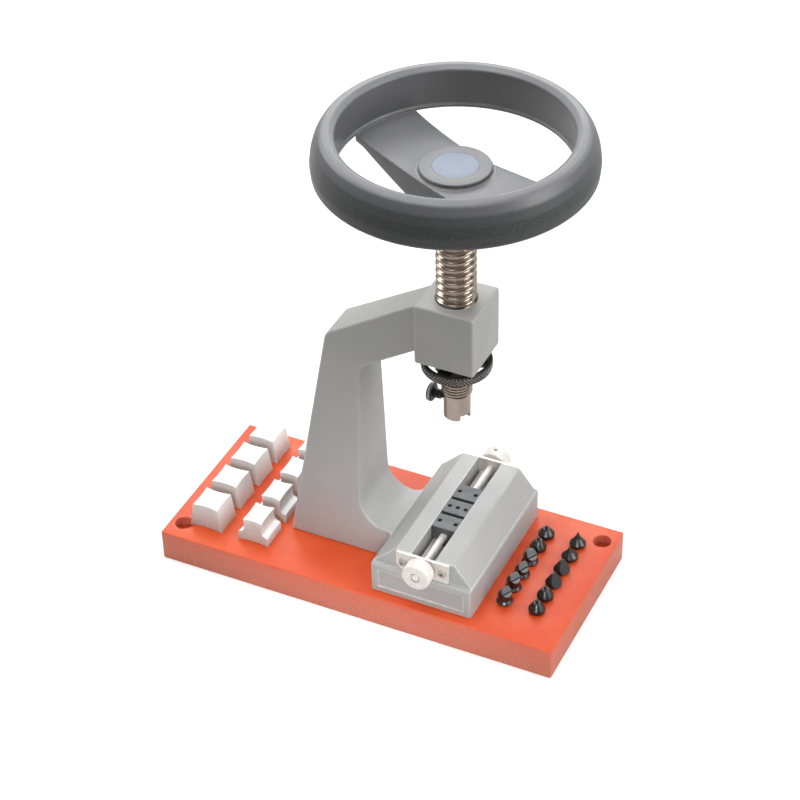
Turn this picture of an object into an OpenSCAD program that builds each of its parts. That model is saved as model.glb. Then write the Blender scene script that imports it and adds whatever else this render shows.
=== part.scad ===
// Bench watch case opener.
// A handwheel drives a coarse screw through the head of a cast frame, above a small vise
// whose two jaws part together. The frame stands on a painted wooden board that also
// holds the interchangeable bits and the plastic case supports.
// The origin is the centre of the board's underside, +X runs along the board towards
// the bits, and +Z is up.

/* [Board] */
// Length of the board left of the column
rack_len = 75; // [71:1:110]
// Width of the board along Y
board_wid = 120; // [116:1:150]
// Thickness of the board
board_thk = 22; // [19:0.5:30]
// Radius of the board's upright corners
board_corner_r = 2.5; // [1:0.5:8]
// Distance of the two corner holes from the board's short ends
corner_hole_in_x = 9.5; // [8.5:0.5:12]
// Distance of the two corner holes from the board's long sides
corner_hole_in_y = 13.5; // [8.5:0.5:16]
// Radius of the corner holes' counterbore
corner_bore_r = 5.8; // [4.5:0.1:7]
// Depth of the corner holes' counterbore
corner_bore_depth = 8; // [4:0.5:12]
// Radius of the corner holes below the counterbore
corner_hole_r = 3.2; // [2:0.1:4]

/* [Frame casting] */
// Distance from the board's right end to the spindle's axis
axis_from_end = 88.5; // [80:0.5:120]
// Distance from the spindle's axis to the column's inner face
throat = 57.5; // [54:0.5:62]
// Length of the column's foot along X
column_foot_len = 49; // [44:0.5:52]
// Half of the column's width along Y at the board
column_half_foot = 23; // [20:0.5:28]
// Draft of the column's front and back faces, in degrees
column_draft = 3.4; // [2.6:0.1:3.8]
// Lean of the column's outer face, in degrees
column_lean = 9.3; // [7:0.1:10]
// Rise of the arm, in degrees
arm_rise = 31.5; // [28:0.5:34]
// Height of the head block's top above the board
head_top_z = 198; // [190:1:206]
// Height of the head block
head_h = 41; // [38:0.5:46]
// Width of the square head block
head_w = 38.2; // [36:0.2:42]
// Gap round the spindle where it leaves the head block's top
top_hole_gap = 0.5; // [0.3:0.1:1.2]
// Drop from the head block's top to the arm's top, at the head block
arm_top_drop = 3.4; // [3:0.2:6]
// Step from the head block's bottom to the arm's bottom, at the head block
arm_under_step = 5.2; // [4:0.2:9]
// Radius at the column's outer top corner
shoulder_r = 9; // [4:0.5:12]
// Radius between the arm's underside and the column
elbow_r = 8; // [4:0.5:12]
// Radius between the column and the saddle
saddle_r = 18; // [12:0.5:19]
// Height of the saddle between column and vise above the board
saddle_h = 21; // [16:0.5:21.5]
// Radius of the upright fillets where the saddle meets the vise bed
saddle_fillet_r = 4; // [2:0.5:6]

/* [Vise bed] */
// Distance from the spindle's axis to the bed's left side
bed_left = 35.2; // [31:0.1:37]
// Distance from the spindle's axis to the bed's right side
bed_right = 32.5; // [31:0.1:36]
// Half of the bed's length along Y
bed_half_len = 53.3; // [50:0.1:56]
// Height of the bed's upright sides above the board
bed_side_h = 22; // [21:0.5:24]
// Radius of the bed's upright corners
bed_corner_r = 2; // [1:0.1:2.4]
// Height of the lands beside the channel above the board
land_h = 37; // [34:0.5:40]
// Distance from the spindle's axis to the left land's outer edge
land_left = 18.8; // [18.2:0.1:22]
// Distance from the spindle's axis to the right land's outer edge
land_right = 20.3; // [18.2:0.1:22]
// Setback of the ridge's ends from the bed's ends
ridge_setback = 2.8; // [2.5:0.1:4]
// Width of the channel
channel_w = 16.1; // [15:0.1:17]
// Depth of the channel below the lands
channel_depth = 15.5; // [15:0.5:16.5]
// Height of the lead screw's axis above the board
lead_axis_h = 30; // [29.6:0.1:30.4]
// Depth of the bare name panel in the bed's front
panel_depth = 0.8; // [0.4:0.1:1.5]

/* [End plates] */
// Width of the end plates
plate_w = 35.4; // [34:0.2:37]
// Height of the end plates
plate_h = 14.4; // [13.5:0.1:15]
// Thickness of the end plates
plate_t = 2; // [2:0.1:2.3]
// Cut at the end plates' lower left corner
plate_cut = 4.5; // [2:0.1:5]
// Distance of the plate screws from the lead screw along X
plate_screw_x = 13.1; // [12.8:0.1:14]
// Radius of the plate screws' thread
plate_screw_r = 1.5; // [1.2:0.1:1.7]
// Radius of the plate screws' heads
plate_screw_head_r = 2.7; // [2.2:0.1:3]
// Height of the plate screws' heads
plate_screw_head_h = 1.6; // [1.2:0.1:2]
// Length of the plate screws' thread
plate_screw_len = 9; // [6:0.5:12]

/* [Jaws and lead screw] */
// Radius of the lead screw
lead_r = 2.5; // [2.2:0.1:2.7]
// Radius of the guide rods
rod_r = 1.5; // [1.2:0.1:1.6]
// Distance of the guide rods from the lead screw along X
rod_x = 5.8; // [5.6:0.1:6]
// Drop of the guide rods below the lead screw
rod_drop = 5; // [4.6:0.1:5.2]
// Length of each jaw along Y
jaw_len = 13; // [11:0.5:15]
// Length of the fixed centre block along Y
centre_len = 13; // [11:0.5:15]
// Gap between each jaw and the centre block at rest
jaw_gap = 2.2; // [1.8:0.1:4]
// Radius of the pin holes in the jaws and the centre block
pin_hole_r = 1.4; // [1:0.1:1.6]
// Depth of the pin holes
pin_hole_depth = 3.5; // [2:0.1:3.7]
// Half of the distance between a jaw's pin holes
jaw_pin_x = 5.4; // [4.5:0.1:6]
// Radius of the knobs
knob_r = 9.2; // [8:0.1:10]
// Length of the knobs' knurled part
knob_len = 9.3; // [7:0.1:12]
// Radius of the collar between knob and end plate
knob_collar_r = 5; // [4:0.1:6]
// Length of the collar between knob and end plate
knob_collar_len = 1.5; // [1.2:0.1:3]
// Radius of the knobs' set screws
set_screw_r = 1.2; // [0.8:0.1:1.6]

/* [Spindle] */
// Radius of the coarse thread's crests
coarse_r = 12; // [11.5:0.1:12.5]
// Radius of the coarse thread's roots
coarse_root_r = 9.8; // [9.6:0.1:10.2]
// Pitch of the coarse thread
coarse_pitch = 5; // [4:0.5:6]
// Radius of the fine thread's crests
fine_r = 9.4; // [9:0.1:9.5]
// Radius of the fine thread's roots
fine_root_r = 8.7; // [8.5:0.1:8.9]
// Pitch of the fine thread
fine_pitch = 2; // [1.5:0.25:2.5]
// Length of the fine thread
fine_len = 33; // [31:0.5:36]
// Radius of the plain nose
nose_r = 8.25; // [7.5:0.05:8.4]
// Length of the plain nose
nose_len = 17.5; // [17:0.1:20]
// Radius of the nose's socket for the bits
socket_r = 4.1; // [3.6:0.1:4.6]
// Depth of the nose's socket
socket_depth = 27; // [25:0.5:30]
// Width of the driving slot across the nose
slot_w = 7.4; // [5:0.1:8]
// Depth of the driving slot
slot_depth = 3.8; // [2:0.1:6]
// Direction of the driving slot from +X, in degrees
slot_turn = -25; // [-45:1:45]
// Rise from the head block's underside to the coarse thread's lower end
neck_rise = 5; // [4:0.5:8]
// Width across the flats of the square that drives the wheel
square_w = 14; // [12:0.5:15]
// Radius of the threaded nut in the head block
nut_r = 15; // [14:0.5:16]
// Depth of the nut below the head block's top
nut_below_top = 2.5; // [1.5:0.5:5]

/* [Stop ring and thumb screw] */
// Outer radius of the knurled stop ring
ring_r = 21.7; // [20:0.1:23]
// Thickness of the stop ring
ring_t = 6; // [5:0.5:7]
// Drop from the head block's underside to the stop ring's top
ring_drop = 3; // [2.9:0.1:5]
// Width of the stop ring's outer band
ring_band = 3; // [1.5:0.1:3.4]
// Radius of the stop ring's threaded hub
ring_hub_r = 13.5; // [12.5:0.5:14.5]
// Width of the webs between the stop ring's hub and band
ring_web_w = 9; // [6:0.5:12]
// Height of the thumb screw's axis above the nose's end
thumb_z = 11.5; // [11:0.1:12]
// Radius of the thumb screw's knurled head
thumb_head_r = 6; // [5:0.1:7]
// Thickness of the thumb screw's head
thumb_head_t = 3.4; // [2.5:0.1:5]
// Distance from the spindle's axis to the thumb screw's head
thumb_reach = 15; // [13:0.5:18]
// Radius of the thumb screw's neck
thumb_neck_r = 3; // [2.5:0.1:4]
// Radius of the thumb screw's thread
thumb_thread_r = 2; // [1.5:0.1:2.3]

/* [Handwheel] */
// Outer radius of the handwheel
wheel_r = 81.4; // [76:0.1:84]
// Height of the wheel's rim
rim_h = 27; // [24:0.5:29]
// Width of the rim from its bulge to its inner edge
rim_width = 14.6; // [13:0.1:17]
// Thickness of the rim's walls
rim_wall = 3.4; // [2.5:0.1:4]
// Gap between the head block's top and the hub's underside at rest
wheel_gap = 67; // [60:1:70]
// Height of the hub from its underside to the collar's top
hub_h = 23.2; // [22:0.1:26]
// Drop from the spoke plate's top to the rim's lower edge
rim_drop = 0.4; // [0:0.1:2]
// Radius of the boss under the hub
boss_r = 16; // [14.5:0.5:18]
// Radius of the hub's collar
collar_r = 20.8; // [19.5:0.1:22]
// Height of the collar above the spoke plate
collar_h = 3; // [2.5:0.1:5]
// Thickness of the spoke plate
spoke_t = 4.5; // [3.5:0.1:6]
// Distance from the axis to the spokes' front edge at the hub
spoke_front = 22.7; // [21:0.1:24]
// How far the spokes' front edge draws back at the rim
spoke_bow = 3.6; // [0:0.1:5]
// Distance from the axis to the spokes' back edge at the hub
spoke_back = 18.2; // [16:0.1:19]
// Widening of the left spoke's back edge at the rim
left_flare = 5.7; // [0:0.1:8]
// Widening of the right spoke's back edge at the rim
right_flare = 14; // [0:0.1:16]
// Depth of the spokes' skirts at the hub
skirt_depth = 16; // [12:0.5:17]
// Thickness of the spokes' skirts
skirt_t = 3.5; // [2.5:0.1:5]
// Turn of the spokes from the board's length at rest, in degrees
wheel_turn = -25.8; // [-90:0.1:90]
// Radius of the hub's cap disc
cap_r = 13.3; // [12.5:0.1:14.5]
// Thickness of the cap disc
cap_t = 1.8; // [1.2:0.1:2.5]

/* [Bits] */
// Number of bits in each of the two rows
bit_count = 6; // [3:1:6]
// Pitch of the bits along Y
bit_pitch = 13.3; // [12.5:0.1:14.5]
// Distance of the rows' middle behind the board's middle
bit_row_y = 3.1; // [0:0.1:6]
// Distance of the inner row from the vise bed's side
bit_row_out = 12.6; // [8:0.1:16]
// Distance between the two rows
bit_row_gap = 21.4; // [18:0.1:24]
// Radius of the bits' heads
bit_head_r = 5.2; // [4.8:0.1:5.8]
// Height of the heads' cylindrical part
bit_rim_h = 3; // [2:0.1:4]
// Radius of the bits' shanks
bit_shank_r = 4; // [3.5:0.05:4.02]
// Length of the bits' shanks
bit_shank_len = 14; // [10:0.5:16]

/* [Case supports] */
// Number of supports in each row
support_count = 4; // [2:1:4]
// Pitch of the supports along Y
support_pitch = 25.3; // [24:0.1:27]
// Distance of the rows' middle behind the board's middle
support_row_y = 1.8; // [0:0.1:3]
// Distance from the column's foot to the small supports
support_out = 4.9; // [2:0.1:6]
// Width of the large supports' base along X
large_w = 23; // [20:0.5:24]
// Distance between the two rows of supports
support_row_gap = 11.6; // [8:0.1:12]
// Width of the small supports' base along X
small_w = 21.6; // [18:0.1:22]
// Length of all supports along Y
support_len = 19.6; // [16:0.2:21]
// Height of all supports
support_h = 17.5; // [14:0.5:24]
// Height of the small supports' step
small_step_h = 7; // [4:0.5:10]
// Width of the small supports above the step
small_top_w = 14; // [10:0.5:15]
// Draw-in of the large supports' sides at their top
large_taper = 2.7; // [1:0.1:4]
// Draw-in of all supports' front and back faces at their top
end_taper = 0.6; // [0.2:0.1:1.5]
// Depth of the hollow in the supports' front and back faces
hollow_depth = 1.1; // [0.4:0.1:1.6]
// Radius of the peg below each support
peg_r = 3; // [2:0.1:4]
// Length of the peg below each support
peg_len = 6; // [4:0.5:9]

/* [Fasteners and fits] */
// Radius of the screws that hold the casting on the board
frame_screw_r = 3; // [2.5:0.1:3.5]
// Radius of the frame screws' heads
frame_screw_head_r = 5; // [4.5:0.1:6]
// Height of the frame screws' heads
frame_screw_head_h = 5; // [3:0.5:6]
// Depth of the frame screws in the casting
frame_screw_grip = 14; // [10:0.5:15]
// Recess of the frame screws' heads in the board's underside
frame_screw_recess = 1; // [0.5:0.1:3]
// Radial clearance of screws, shafts and shanks in their holes
running_gap = 0.05; // [0.02:0.01:0.08]
// Side clearance of sliding blocks and of loose seats
side_gap = 0.1; // [0.05:0.01:0.2]

/* [Hidden] */
$fn = 64;
ROWS = ["a", "b"];
BITS = [for (r = ROWS) for (i = [1 : bit_count]) str("bit_", r, i)];
SUPPORTS = [for (s = ["large", "small"]) for (i = [1 : support_count]) str(s, "_support_", i)];

board_len = rack_len + column_foot_len + throat + axis_from_end;
board_top = board_thk;
axis_x = board_len / 2 - axis_from_end;
head_top = board_top + head_top_z;
head_bottom = head_top - head_h;
head_left = axis_x - head_w / 2;
column_in = axis_x - throat;
column_out = column_in - column_foot_len;
land_z = board_top + land_h;
bed_side_z = board_top + bed_side_h;
ridge_end = bed_half_len - ridge_setback;
channel_floor = land_z - channel_depth;
lead_z = board_top + lead_axis_h;
rod_z = lead_z - rod_drop;
plate_bottom = land_z - plate_h - 0.3;
screw_z = lead_z - 0.3;
block_h = channel_depth - 0.4;
block_w = channel_w - 2 * side_gap;
knob_start = ridge_end + plate_t + side_gap;
knob_end = knob_start + knob_collar_len + knob_len;
neck_z = head_bottom + neck_rise;
fine_end = neck_z - fine_len;
nose_end = fine_end - nose_len;
hub_z = head_top + wheel_gap;
hub_top = hub_z + hub_h;
plate_top = hub_top - collar_h;
ring_top = head_bottom - ring_drop;
square_top = hub_z + spoke_t + 9.5;
cap_seat = hub_top - cap_t - side_gap;
washer_t = 2;
bolt_head_h = 3.6;
bolt_r = 4;
bolt_len = 20;
rim_z = plate_top - rim_drop;
rim_inner_r = wheel_r - rim_width;

// Unit vector along v
function unit(v) = v / norm(v);

// Points of an arc of radius r that rounds the corner b between a and c, in n steps
function round_corner(a, b, c, r, n = 12) =
    let (u = unit(a - b), v = unit(c - b), half = acos(u * v) / 2,
        centre = b + unit(u + v) * r / sin(half),
        s = b + u * r / tan(half) - centre, e = b + v * r / tan(half) - centre,
        a0 = atan2(s[1], s[0]), raw = atan2(e[1], e[0]) - a0,
        turn = raw > 180 ? raw - 360 : raw < -180 ? raw + 360 : raw)
    [for (i = [0 : n]) centre + r * [cos(a0 + turn * i / n), sin(a0 + turn * i / n)]];

// Where two lines meet, each given by a point and a direction
function meet(p, d, q, e) =
    let (k = ((q - p)[0] * e[1] - (q - p)[1] * e[0]) / (d[0] * e[1] - d[1] * e[0])) p + d * k;

// Half of the column's width at height z
function column_half(z) = column_half_foot - (z - board_top) * tan(column_draft);

// Rectangle of size [w, l] around the origin with corners of radius r
module rounded_rect(w, l, r) {
    square([w - 2 * r, l], center = true);
    square([w, l - 2 * r], center = true);
    for (x = [-1, 1], y = [-1, 1]) translate([x * (w / 2 - r), y * (l / 2 - r)]) circle(r);
}

// Cylinder of radius r and length l that starts at the origin and runs along +Y
module rod_y(r, l) {
    rotate([-90, 0, 0]) cylinder(r = r, h = l);
}

module corner_holes() {
    for (s = [-1, 1]) translate([s * (board_len / 2 - corner_hole_in_x),
            s * (board_wid / 2 - corner_hole_in_y), 0]) children();
}

function frame_screw_spots() = [
    [column_in - 0.3 * column_foot_len, 0], [column_in - 0.75 * column_foot_len, 0],
    [axis_x - 0.75 * bed_right, -0.8 * bed_half_len], [axis_x + 0.75 * bed_right, -0.8 * bed_half_len],
    [axis_x - 0.75 * bed_right, 0.8 * bed_half_len], [axis_x + 0.75 * bed_right, 0.8 * bed_half_len]];

// Places of the bits in row 0 or 1
function bit_spot(row, i) = [axis_x + bed_right + bit_row_out + row * bit_row_gap,
    bit_row_y + bit_pitch * ((bit_count - 1) / 2 - i)];

// Middle of a support: row 0 is the large row
function support_spot(row, i) = [column_out - support_out
    - (row == 1 ? small_w / 2 : small_w + support_row_gap + large_w / 2),
    support_row_y + support_pitch * (i - (support_count - 1) / 2)];

module base_board() {
    color("OrangeRed") difference() {
        linear_extrude(board_thk) rounded_rect(board_len, board_wid, board_corner_r);
        corner_holes() {
            translate([0, 0, board_thk - corner_bore_depth]) cylinder(r = corner_bore_r, h = board_thk);
            translate([0, 0, -1]) cylinder(r = corner_hole_r, h = board_thk);
        }
        for (p = frame_screw_spots()) translate([p[0], p[1], -1]) {
            cylinder(r = frame_screw_r + side_gap, h = board_thk + 2);
            cylinder(r = frame_screw_head_r + side_gap, h = 1 + frame_screw_recess + frame_screw_head_h);
        }
        for (row = [0, 1], i = [0 : bit_count - 1])
            translate(concat(bit_spot(row, i), [board_thk - bit_shank_len - 0.5]))
                cylinder(r = bit_shank_r + running_gap, h = board_thk);
        for (row = [0, 1], i = [0 : support_count - 1])
            translate(concat(support_spot(row, i), [board_thk - peg_len - 0.5]))
                cylinder(r = peg_r + side_gap, h = board_thk);
    }
}

// Outline of the column, arm and saddle in the XZ plane
function frame_outline() =
    let (up = [sin(column_lean), cos(column_lean)], along = [cos(arm_rise), sin(arm_rise)],
        foot = [column_out, board_top], arm_top = [head_left, head_top - arm_top_drop],
        arm_low = [head_left, head_bottom + arm_under_step],
        shoulder = meet(foot, up, arm_top, along),
        elbow = meet([column_in, board_top], [0, 1], arm_low, along),
        saddle = [column_in, board_top + saddle_h],
        end_x = axis_x - bed_left + 2)
    concat([foot], round_corner(foot, shoulder, arm_top, shoulder_r),
        [arm_top + along * 3, arm_low + along * 3],
        round_corner(arm_low, elbow, saddle, elbow_r),
        round_corner(elbow, saddle, [end_x, saddle[1]], saddle_r),
        [[end_x, saddle[1]], [end_x, board_top]]);

module column_and_arm() {
    reach = 2 * column_half_foot;
    intersection() {
        rotate([90, 0, 0]) translate([0, 0, -reach]) linear_extrude(2 * reach) polygon(frame_outline());
        translate([column_out - 1, 0, 0]) rotate([90, 0, 90]) linear_extrude(throat + column_foot_len + 1)
            polygon([[-column_half(board_top), board_top], [column_half(board_top), board_top],
                [column_half(head_top), head_top], [-column_half(head_top), head_top]]);
    }
}

module vise_bed() {
    translate([axis_x + (bed_right - bed_left) / 2, 0, board_top]) linear_extrude(bed_side_h)
        rounded_rect(bed_left + bed_right, 2 * bed_half_len, bed_corner_r);
    translate([axis_x, ridge_end, 0]) rotate([90, 0, 0]) linear_extrude(2 * ridge_end)
        polygon([[-bed_left, bed_side_z - 1], [bed_right, bed_side_z - 1], [bed_right, bed_side_z],
            [land_right, land_z], [-land_left, land_z], [-bed_left, bed_side_z]]);
}

// Upright fillets between the saddle's front and back and the bed's left side
module saddle_fillets() {
    for (s = [-1, 1]) translate([axis_x - bed_left, s * column_half(board_top + saddle_h), board_top])
        linear_extrude(saddle_h) scale([1, s]) difference() {
            translate([-saddle_fillet_r, 0]) square([saddle_fillet_r + 1, saddle_fillet_r]);
            translate([-saddle_fillet_r, saddle_fillet_r]) circle(saddle_fillet_r);
        }
}

module frame_casting() {
    color("LightSlateGray") difference() {
        union() {
            column_and_arm();
            translate([head_left, -head_w / 2, head_bottom]) cube([head_w, head_w, head_h]);
            vise_bed();
            saddle_fillets();
        }
        translate([axis_x - channel_w / 2, -bed_half_len - 1, channel_floor])
            cube([channel_w, 2 * bed_half_len + 2, channel_depth + 1]);
        translate([axis_x, 0, head_bottom - 1])
            cylinder(r = nut_r + running_gap, h = head_h - nut_below_top + 1);
        translate([axis_x, 0, head_bottom]) cylinder(r = coarse_r + top_hole_gap, h = head_h + 1);
        translate([axis_x - bed_left + 5, -bed_half_len - 1, board_top + 4])
            cube([bed_left + bed_right - 10, panel_depth + 1, bed_side_h - 9]);
        for (s = [-1, 1], x = [-1, 1])
            translate([axis_x + x * plate_screw_x, s * (ridge_end + 1), screw_z])
                rotate([90 * s, 0, 0]) cylinder(r = plate_screw_r + running_gap, h = plate_screw_len);
        for (p = frame_screw_spots()) translate([p[0], p[1], board_top - 1])
            cylinder(r = frame_screw_r + running_gap, h = frame_screw_grip + 1.5);
    }
}

module frame_screws() {
    color("DimGray") for (p = frame_screw_spots())
        translate([p[0], p[1], frame_screw_recess]) difference() {
        union() {
            cylinder(r = frame_screw_head_r, h = frame_screw_head_h);
            cylinder(r = frame_screw_r, h = board_thk + frame_screw_grip - frame_screw_recess);
        }
        translate([0, 0, -1]) cylinder(r = frame_screw_r * 0.9, h = frame_screw_head_h * 0.7, $fn = 6);
    }
}

module spindle_nut() {
    color("Goldenrod") translate([axis_x, 0, head_bottom]) difference() {
        cylinder(r = nut_r, h = head_h - nut_below_top);
        translate([0, 0, -1]) cylinder(r = coarse_r + running_gap, h = head_h + 2);
    }
}

// End plate of the vise, drawn for the front
module end_plate() {
    color("Silver") difference() {
        translate([0, -ridge_end, 0]) rotate([90, 0, 0]) linear_extrude(plate_t)
            polygon([[-plate_w / 2 + plate_cut, plate_bottom], [plate_w / 2, plate_bottom],
                [plate_w / 2, plate_bottom + plate_h], [-plate_w / 2, plate_bottom + plate_h],
                [-plate_w / 2, plate_bottom + plate_cut]]);
        translate([0, -ridge_end - plate_t - 1, lead_z]) rod_y(lead_r + running_gap, plate_t + 2);
        for (x = [-1, 1]) {
            translate([x * plate_screw_x, -ridge_end - plate_t - 1, screw_z])
                rod_y(plate_screw_r + running_gap, plate_t + 2);
            translate([x * rod_x, -ridge_end - plate_t + 0.5, rod_z]) rod_y(rod_r + running_gap, plate_t);
        }
    }
}

module front_end_plate() {
    translate([axis_x, 0, 0]) end_plate();
}

module back_end_plate() {
    translate([axis_x, 0, 0]) rotate([0, 0, 180]) end_plate();
}

module plate_screws() {
    color("Gainsboro") for (s = [0, 180], x = [-1, 1])
        translate([axis_x, 0, screw_z]) rotate([0, 0, s])
            translate([x * plate_screw_x, -ridge_end - plate_t, 0])
            difference() {
                union() {
                    translate([0, -plate_screw_head_h, 0]) rod_y(plate_screw_head_r, plate_screw_head_h);
                    rod_y(plate_screw_r, plate_t + plate_screw_len - 1.5);
                }
                translate([0, -plate_screw_head_h - 1, 0]) rotate([-90, 0, 0])
                    cylinder(r = plate_screw_r * 0.8, h = plate_screw_head_h * 0.6 + 1, $fn = 6);
            }
}

module guide_rods() {
    half = ridge_end + plate_t - 0.6;
    color("Gainsboro") for (x = [-1, 1])
        translate([axis_x + x * rod_x, -half, rod_z]) rod_y(rod_r, 2 * half);
}

// Block of length l that fills the channel, from y0 on, with bores for lead screw and rods
module channel_block(y0, l, screw_gap) {
    difference() {
        translate([axis_x - block_w / 2, y0, channel_floor + side_gap]) cube([block_w, l, block_h]);
        translate([axis_x, y0 - 1, lead_z]) rod_y(lead_r + screw_gap, l + 2);
        for (x = [-1, 1]) translate([axis_x + x * rod_x, y0 - 1, rod_z]) rod_y(rod_r + running_gap, l + 2);
        children();
    }
}

// Blind pin hole in a block's top at [x, y] from the spindle's axis
module pin_hole(x, y) {
    translate([axis_x + x, y, channel_floor + side_gap + block_h - pin_hole_depth])
        cylinder(r = pin_hole_r, h = pin_hole_depth + 1, $fn = 32);
}

module centre_block() {
    color("DimGray") channel_block(-centre_len / 2, centre_len, 0.3)
        for (x = [-1, 0, 1]) pin_hole(x * jaw_pin_x, 0);
}

module jaw() {
    y0 = -centre_len / 2 - jaw_gap - jaw_len;
    color("DarkSlateGray") channel_block(y0, jaw_len, running_gap)
        for (x = [-1, 1]) pin_hole(x * jaw_pin_x, y0 + jaw_len / 2);
}

module front_jaw() {
    jaw();
}

module back_jaw() {
    mirror([0, 1, 0]) jaw();
}

module lead_screw() {
    color("Gainsboro") translate([axis_x, -knob_end, lead_z]) rod_y(lead_r, 2 * knob_end);
}

// Knob drawn for the front, with its set screw hole on the side given by turn
module knob(turn) {
    c = 0.6;
    seat = lead_r + running_gap;
    color("Gainsboro") translate([0, -knob_start, lead_z]) rotate([90, turn, 0]) difference() {
        rotate_extrude() polygon([[seat, 0], [knob_collar_r, 0], [knob_collar_r, knob_collar_len],
            [knob_r - c, knob_collar_len], [knob_r, knob_collar_len + c],
            [knob_r, knob_collar_len + knob_len - c], [knob_r - c, knob_collar_len + knob_len],
            [seat, knob_collar_len + knob_len]]);
        translate([0, 0, knob_collar_len + knob_len / 2]) rotate([-90, 0, 0])
            cylinder(r = set_screw_r + running_gap, h = knob_r + 1, $fn = 32);
    }
}

module front_knob() {
    translate([axis_x, 0, 0]) knob(180);
}

module back_knob() {
    translate([axis_x, 0, 0]) mirror([0, 1, 0]) knob(0);
}

module knob_set_screws() {
    y = knob_start + knob_collar_len + knob_len / 2;
    long = knob_r - lead_r - 2;
    color("DimGray") for (s = [-1, 1]) translate([axis_x, s * y, lead_z + s * (lead_r + side_gap)])
        mirror([0, 0, s < 0 ? 1 : 0]) difference() {
            cylinder(r = set_screw_r, h = long, $fn = 32);
            translate([0, 0, long - 1]) cylinder(r = set_screw_r * 0.55, h = 2, $fn = 6);
        }
}

// Profile of n ridges of a thread from z0 up, as points [r, z]
function thread_points(z0, n, pitch, root, crest) = [for (i = [0 : n - 1], k = [[0.1, root], [0.3, crest],
    [0.65, crest], [0.85, root]]) [k[1], z0 + pitch * (i + k[0])]];

module spindle_screw() {
    coarse_n = floor((hub_z - neck_z) / coarse_pitch) - 1;
    fine_n = floor(fine_len / fine_pitch);
    color("Tan") translate([axis_x, 0, 0]) difference() {
        union() {
            rotate_extrude() polygon(concat(
                [[0, nose_end], [nose_r - 0.4, nose_end], [nose_r, nose_end + 0.4],
                    [nose_r, fine_end]], thread_points(fine_end, fine_n, fine_pitch, fine_root_r, fine_r),
                [[fine_root_r, neck_z], [coarse_root_r, neck_z]],
                thread_points(neck_z, coarse_n, coarse_pitch, coarse_root_r, coarse_r),
                [[coarse_root_r, hub_z - coarse_pitch], [coarse_r, hub_z - coarse_pitch], [coarse_r, hub_z],
                    [0, hub_z]]));
            rotate([0, 0, wheel_turn]) translate([-square_w / 2, -square_w / 2, hub_z - 1])
                cube([square_w, square_w, square_top - hub_z + 1]);
        }
        translate([0, 0, nose_end - 1]) cylinder(r = socket_r, h = socket_depth + 1);
        rotate([0, 0, slot_turn]) translate([-nose_r - 1, -slot_w / 2, nose_end - 1])
            cube([2 * nose_r + 2, slot_w, slot_depth + 1]);
        translate([0, 0, nose_end + thumb_z]) rotate([0, -90, 0])
            cylinder(r = thumb_thread_r + running_gap, h = fine_r + 1);
        translate([0, 0, square_top - bolt_len]) cylinder(r = bolt_r + running_gap, h = bolt_len + 1);
    }
}

// Cross-section of the rim as points [r, z] above the rim's lower edge
function rim_section() =
    let (foot = [wheel_r - 2.2, 0], bulge = [wheel_r, 0.3 * rim_h], side = [wheel_r - 2, 0.7 * rim_h],
        outer = [wheel_r - 6.6, 0.96 * rim_h], crown = [rim_inner_r + 3.7, rim_h],
        inner = [rim_inner_r, 0.92 * rim_h], low = [rim_inner_r + 1.6, 2.5])
    [foot, [wheel_r - 0.7, 2], bulge, [wheel_r - 0.6, 0.5 * rim_h], side, [wheel_r - 3.9, 0.86 * rim_h],
        outer, crown, inner, low, [rim_inner_r + 0.8, 1.8], [rim_inner_r + 0.8, 0],
        [rim_inner_r + 0.8 + rim_wall, 0], low + [rim_wall, 1], inner + [rim_wall, -rim_wall],
        outer + [-rim_wall / 2, -rim_wall * 1.2], side + [-rim_wall, -1], bulge - [rim_wall, 0],
        foot - [rim_wall, 0]];

// Front edge of the spokes from left to right, moved back by inset
function front_edge(inset, n = 16) = [for (i = [-n : n]) let (x = wheel_r * i / n)
    [x, inset - spoke_front + spoke_bow * pow(x / rim_inner_r, 2)]];

// Back edge of the spokes from right to left
function back_edge(n = 16) = [for (i = [-n : n]) let (x = -wheel_r * i / n, part = x / rim_inner_r)
    [x, spoke_back + (x < 0 ? left_flare * pow(part, 2) : right_flare * part)]];

// Skirts that hang from the spokes' front edge and deepen towards the hub
module skirts() {
    reach = rim_inner_r + 0.5;
    low = plate_top - skirt_depth;
    back = front_edge(skirt_t);
    intersection() {
        translate([0, reach, 0]) rotate([90, 0, 0]) linear_extrude(2 * reach)
            polygon([[-reach, plate_top - 1], [8 - reach, plate_top - spoke_t], [-boss_r, low],
                [boss_r, low], [reach - 8, plate_top - spoke_t], [reach, plate_top - 1]]);
        translate([0, 0, low - 1]) linear_extrude(skirt_depth + 1)
            polygon(concat(front_edge(0), [for (i = [len(back) - 1 : -1 : 0]) back[i]]));
    }
}

module handwheel() {
    color("Gray") translate([axis_x, 0, 0]) rotate([0, 0, wheel_turn]) difference() {
        union() {
            translate([0, 0, rim_z]) rotate_extrude($fn = 128) polygon(rim_section());
            intersection() {
                translate([0, 0, plate_top - spoke_t])
                    cylinder(r = rim_inner_r + 2.2, h = spoke_t, $fn = 128);
                translate([0, 0, plate_top - spoke_t - 1]) linear_extrude(spoke_t + 1)
                    polygon(concat(front_edge(0), back_edge()));
            }
            skirts();
            translate([0, 0, hub_z]) cylinder(r = boss_r, h = hub_h - 1);
            translate([0, 0, plate_top - 1]) cylinder(r = collar_r, h = collar_h + 1);
        }
        translate([0, 0, cap_seat]) cylinder(r = cap_r + running_gap, h = cap_t + 2);
        translate([0, 0, square_top]) cylinder(r = cap_r - 2, h = hub_h);
        translate([-square_w / 2 - running_gap, -square_w / 2 - running_gap, hub_z - 1])
            cube([square_w + 2 * running_gap, square_w + 2 * running_gap, hub_h]);
    }
}

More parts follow.
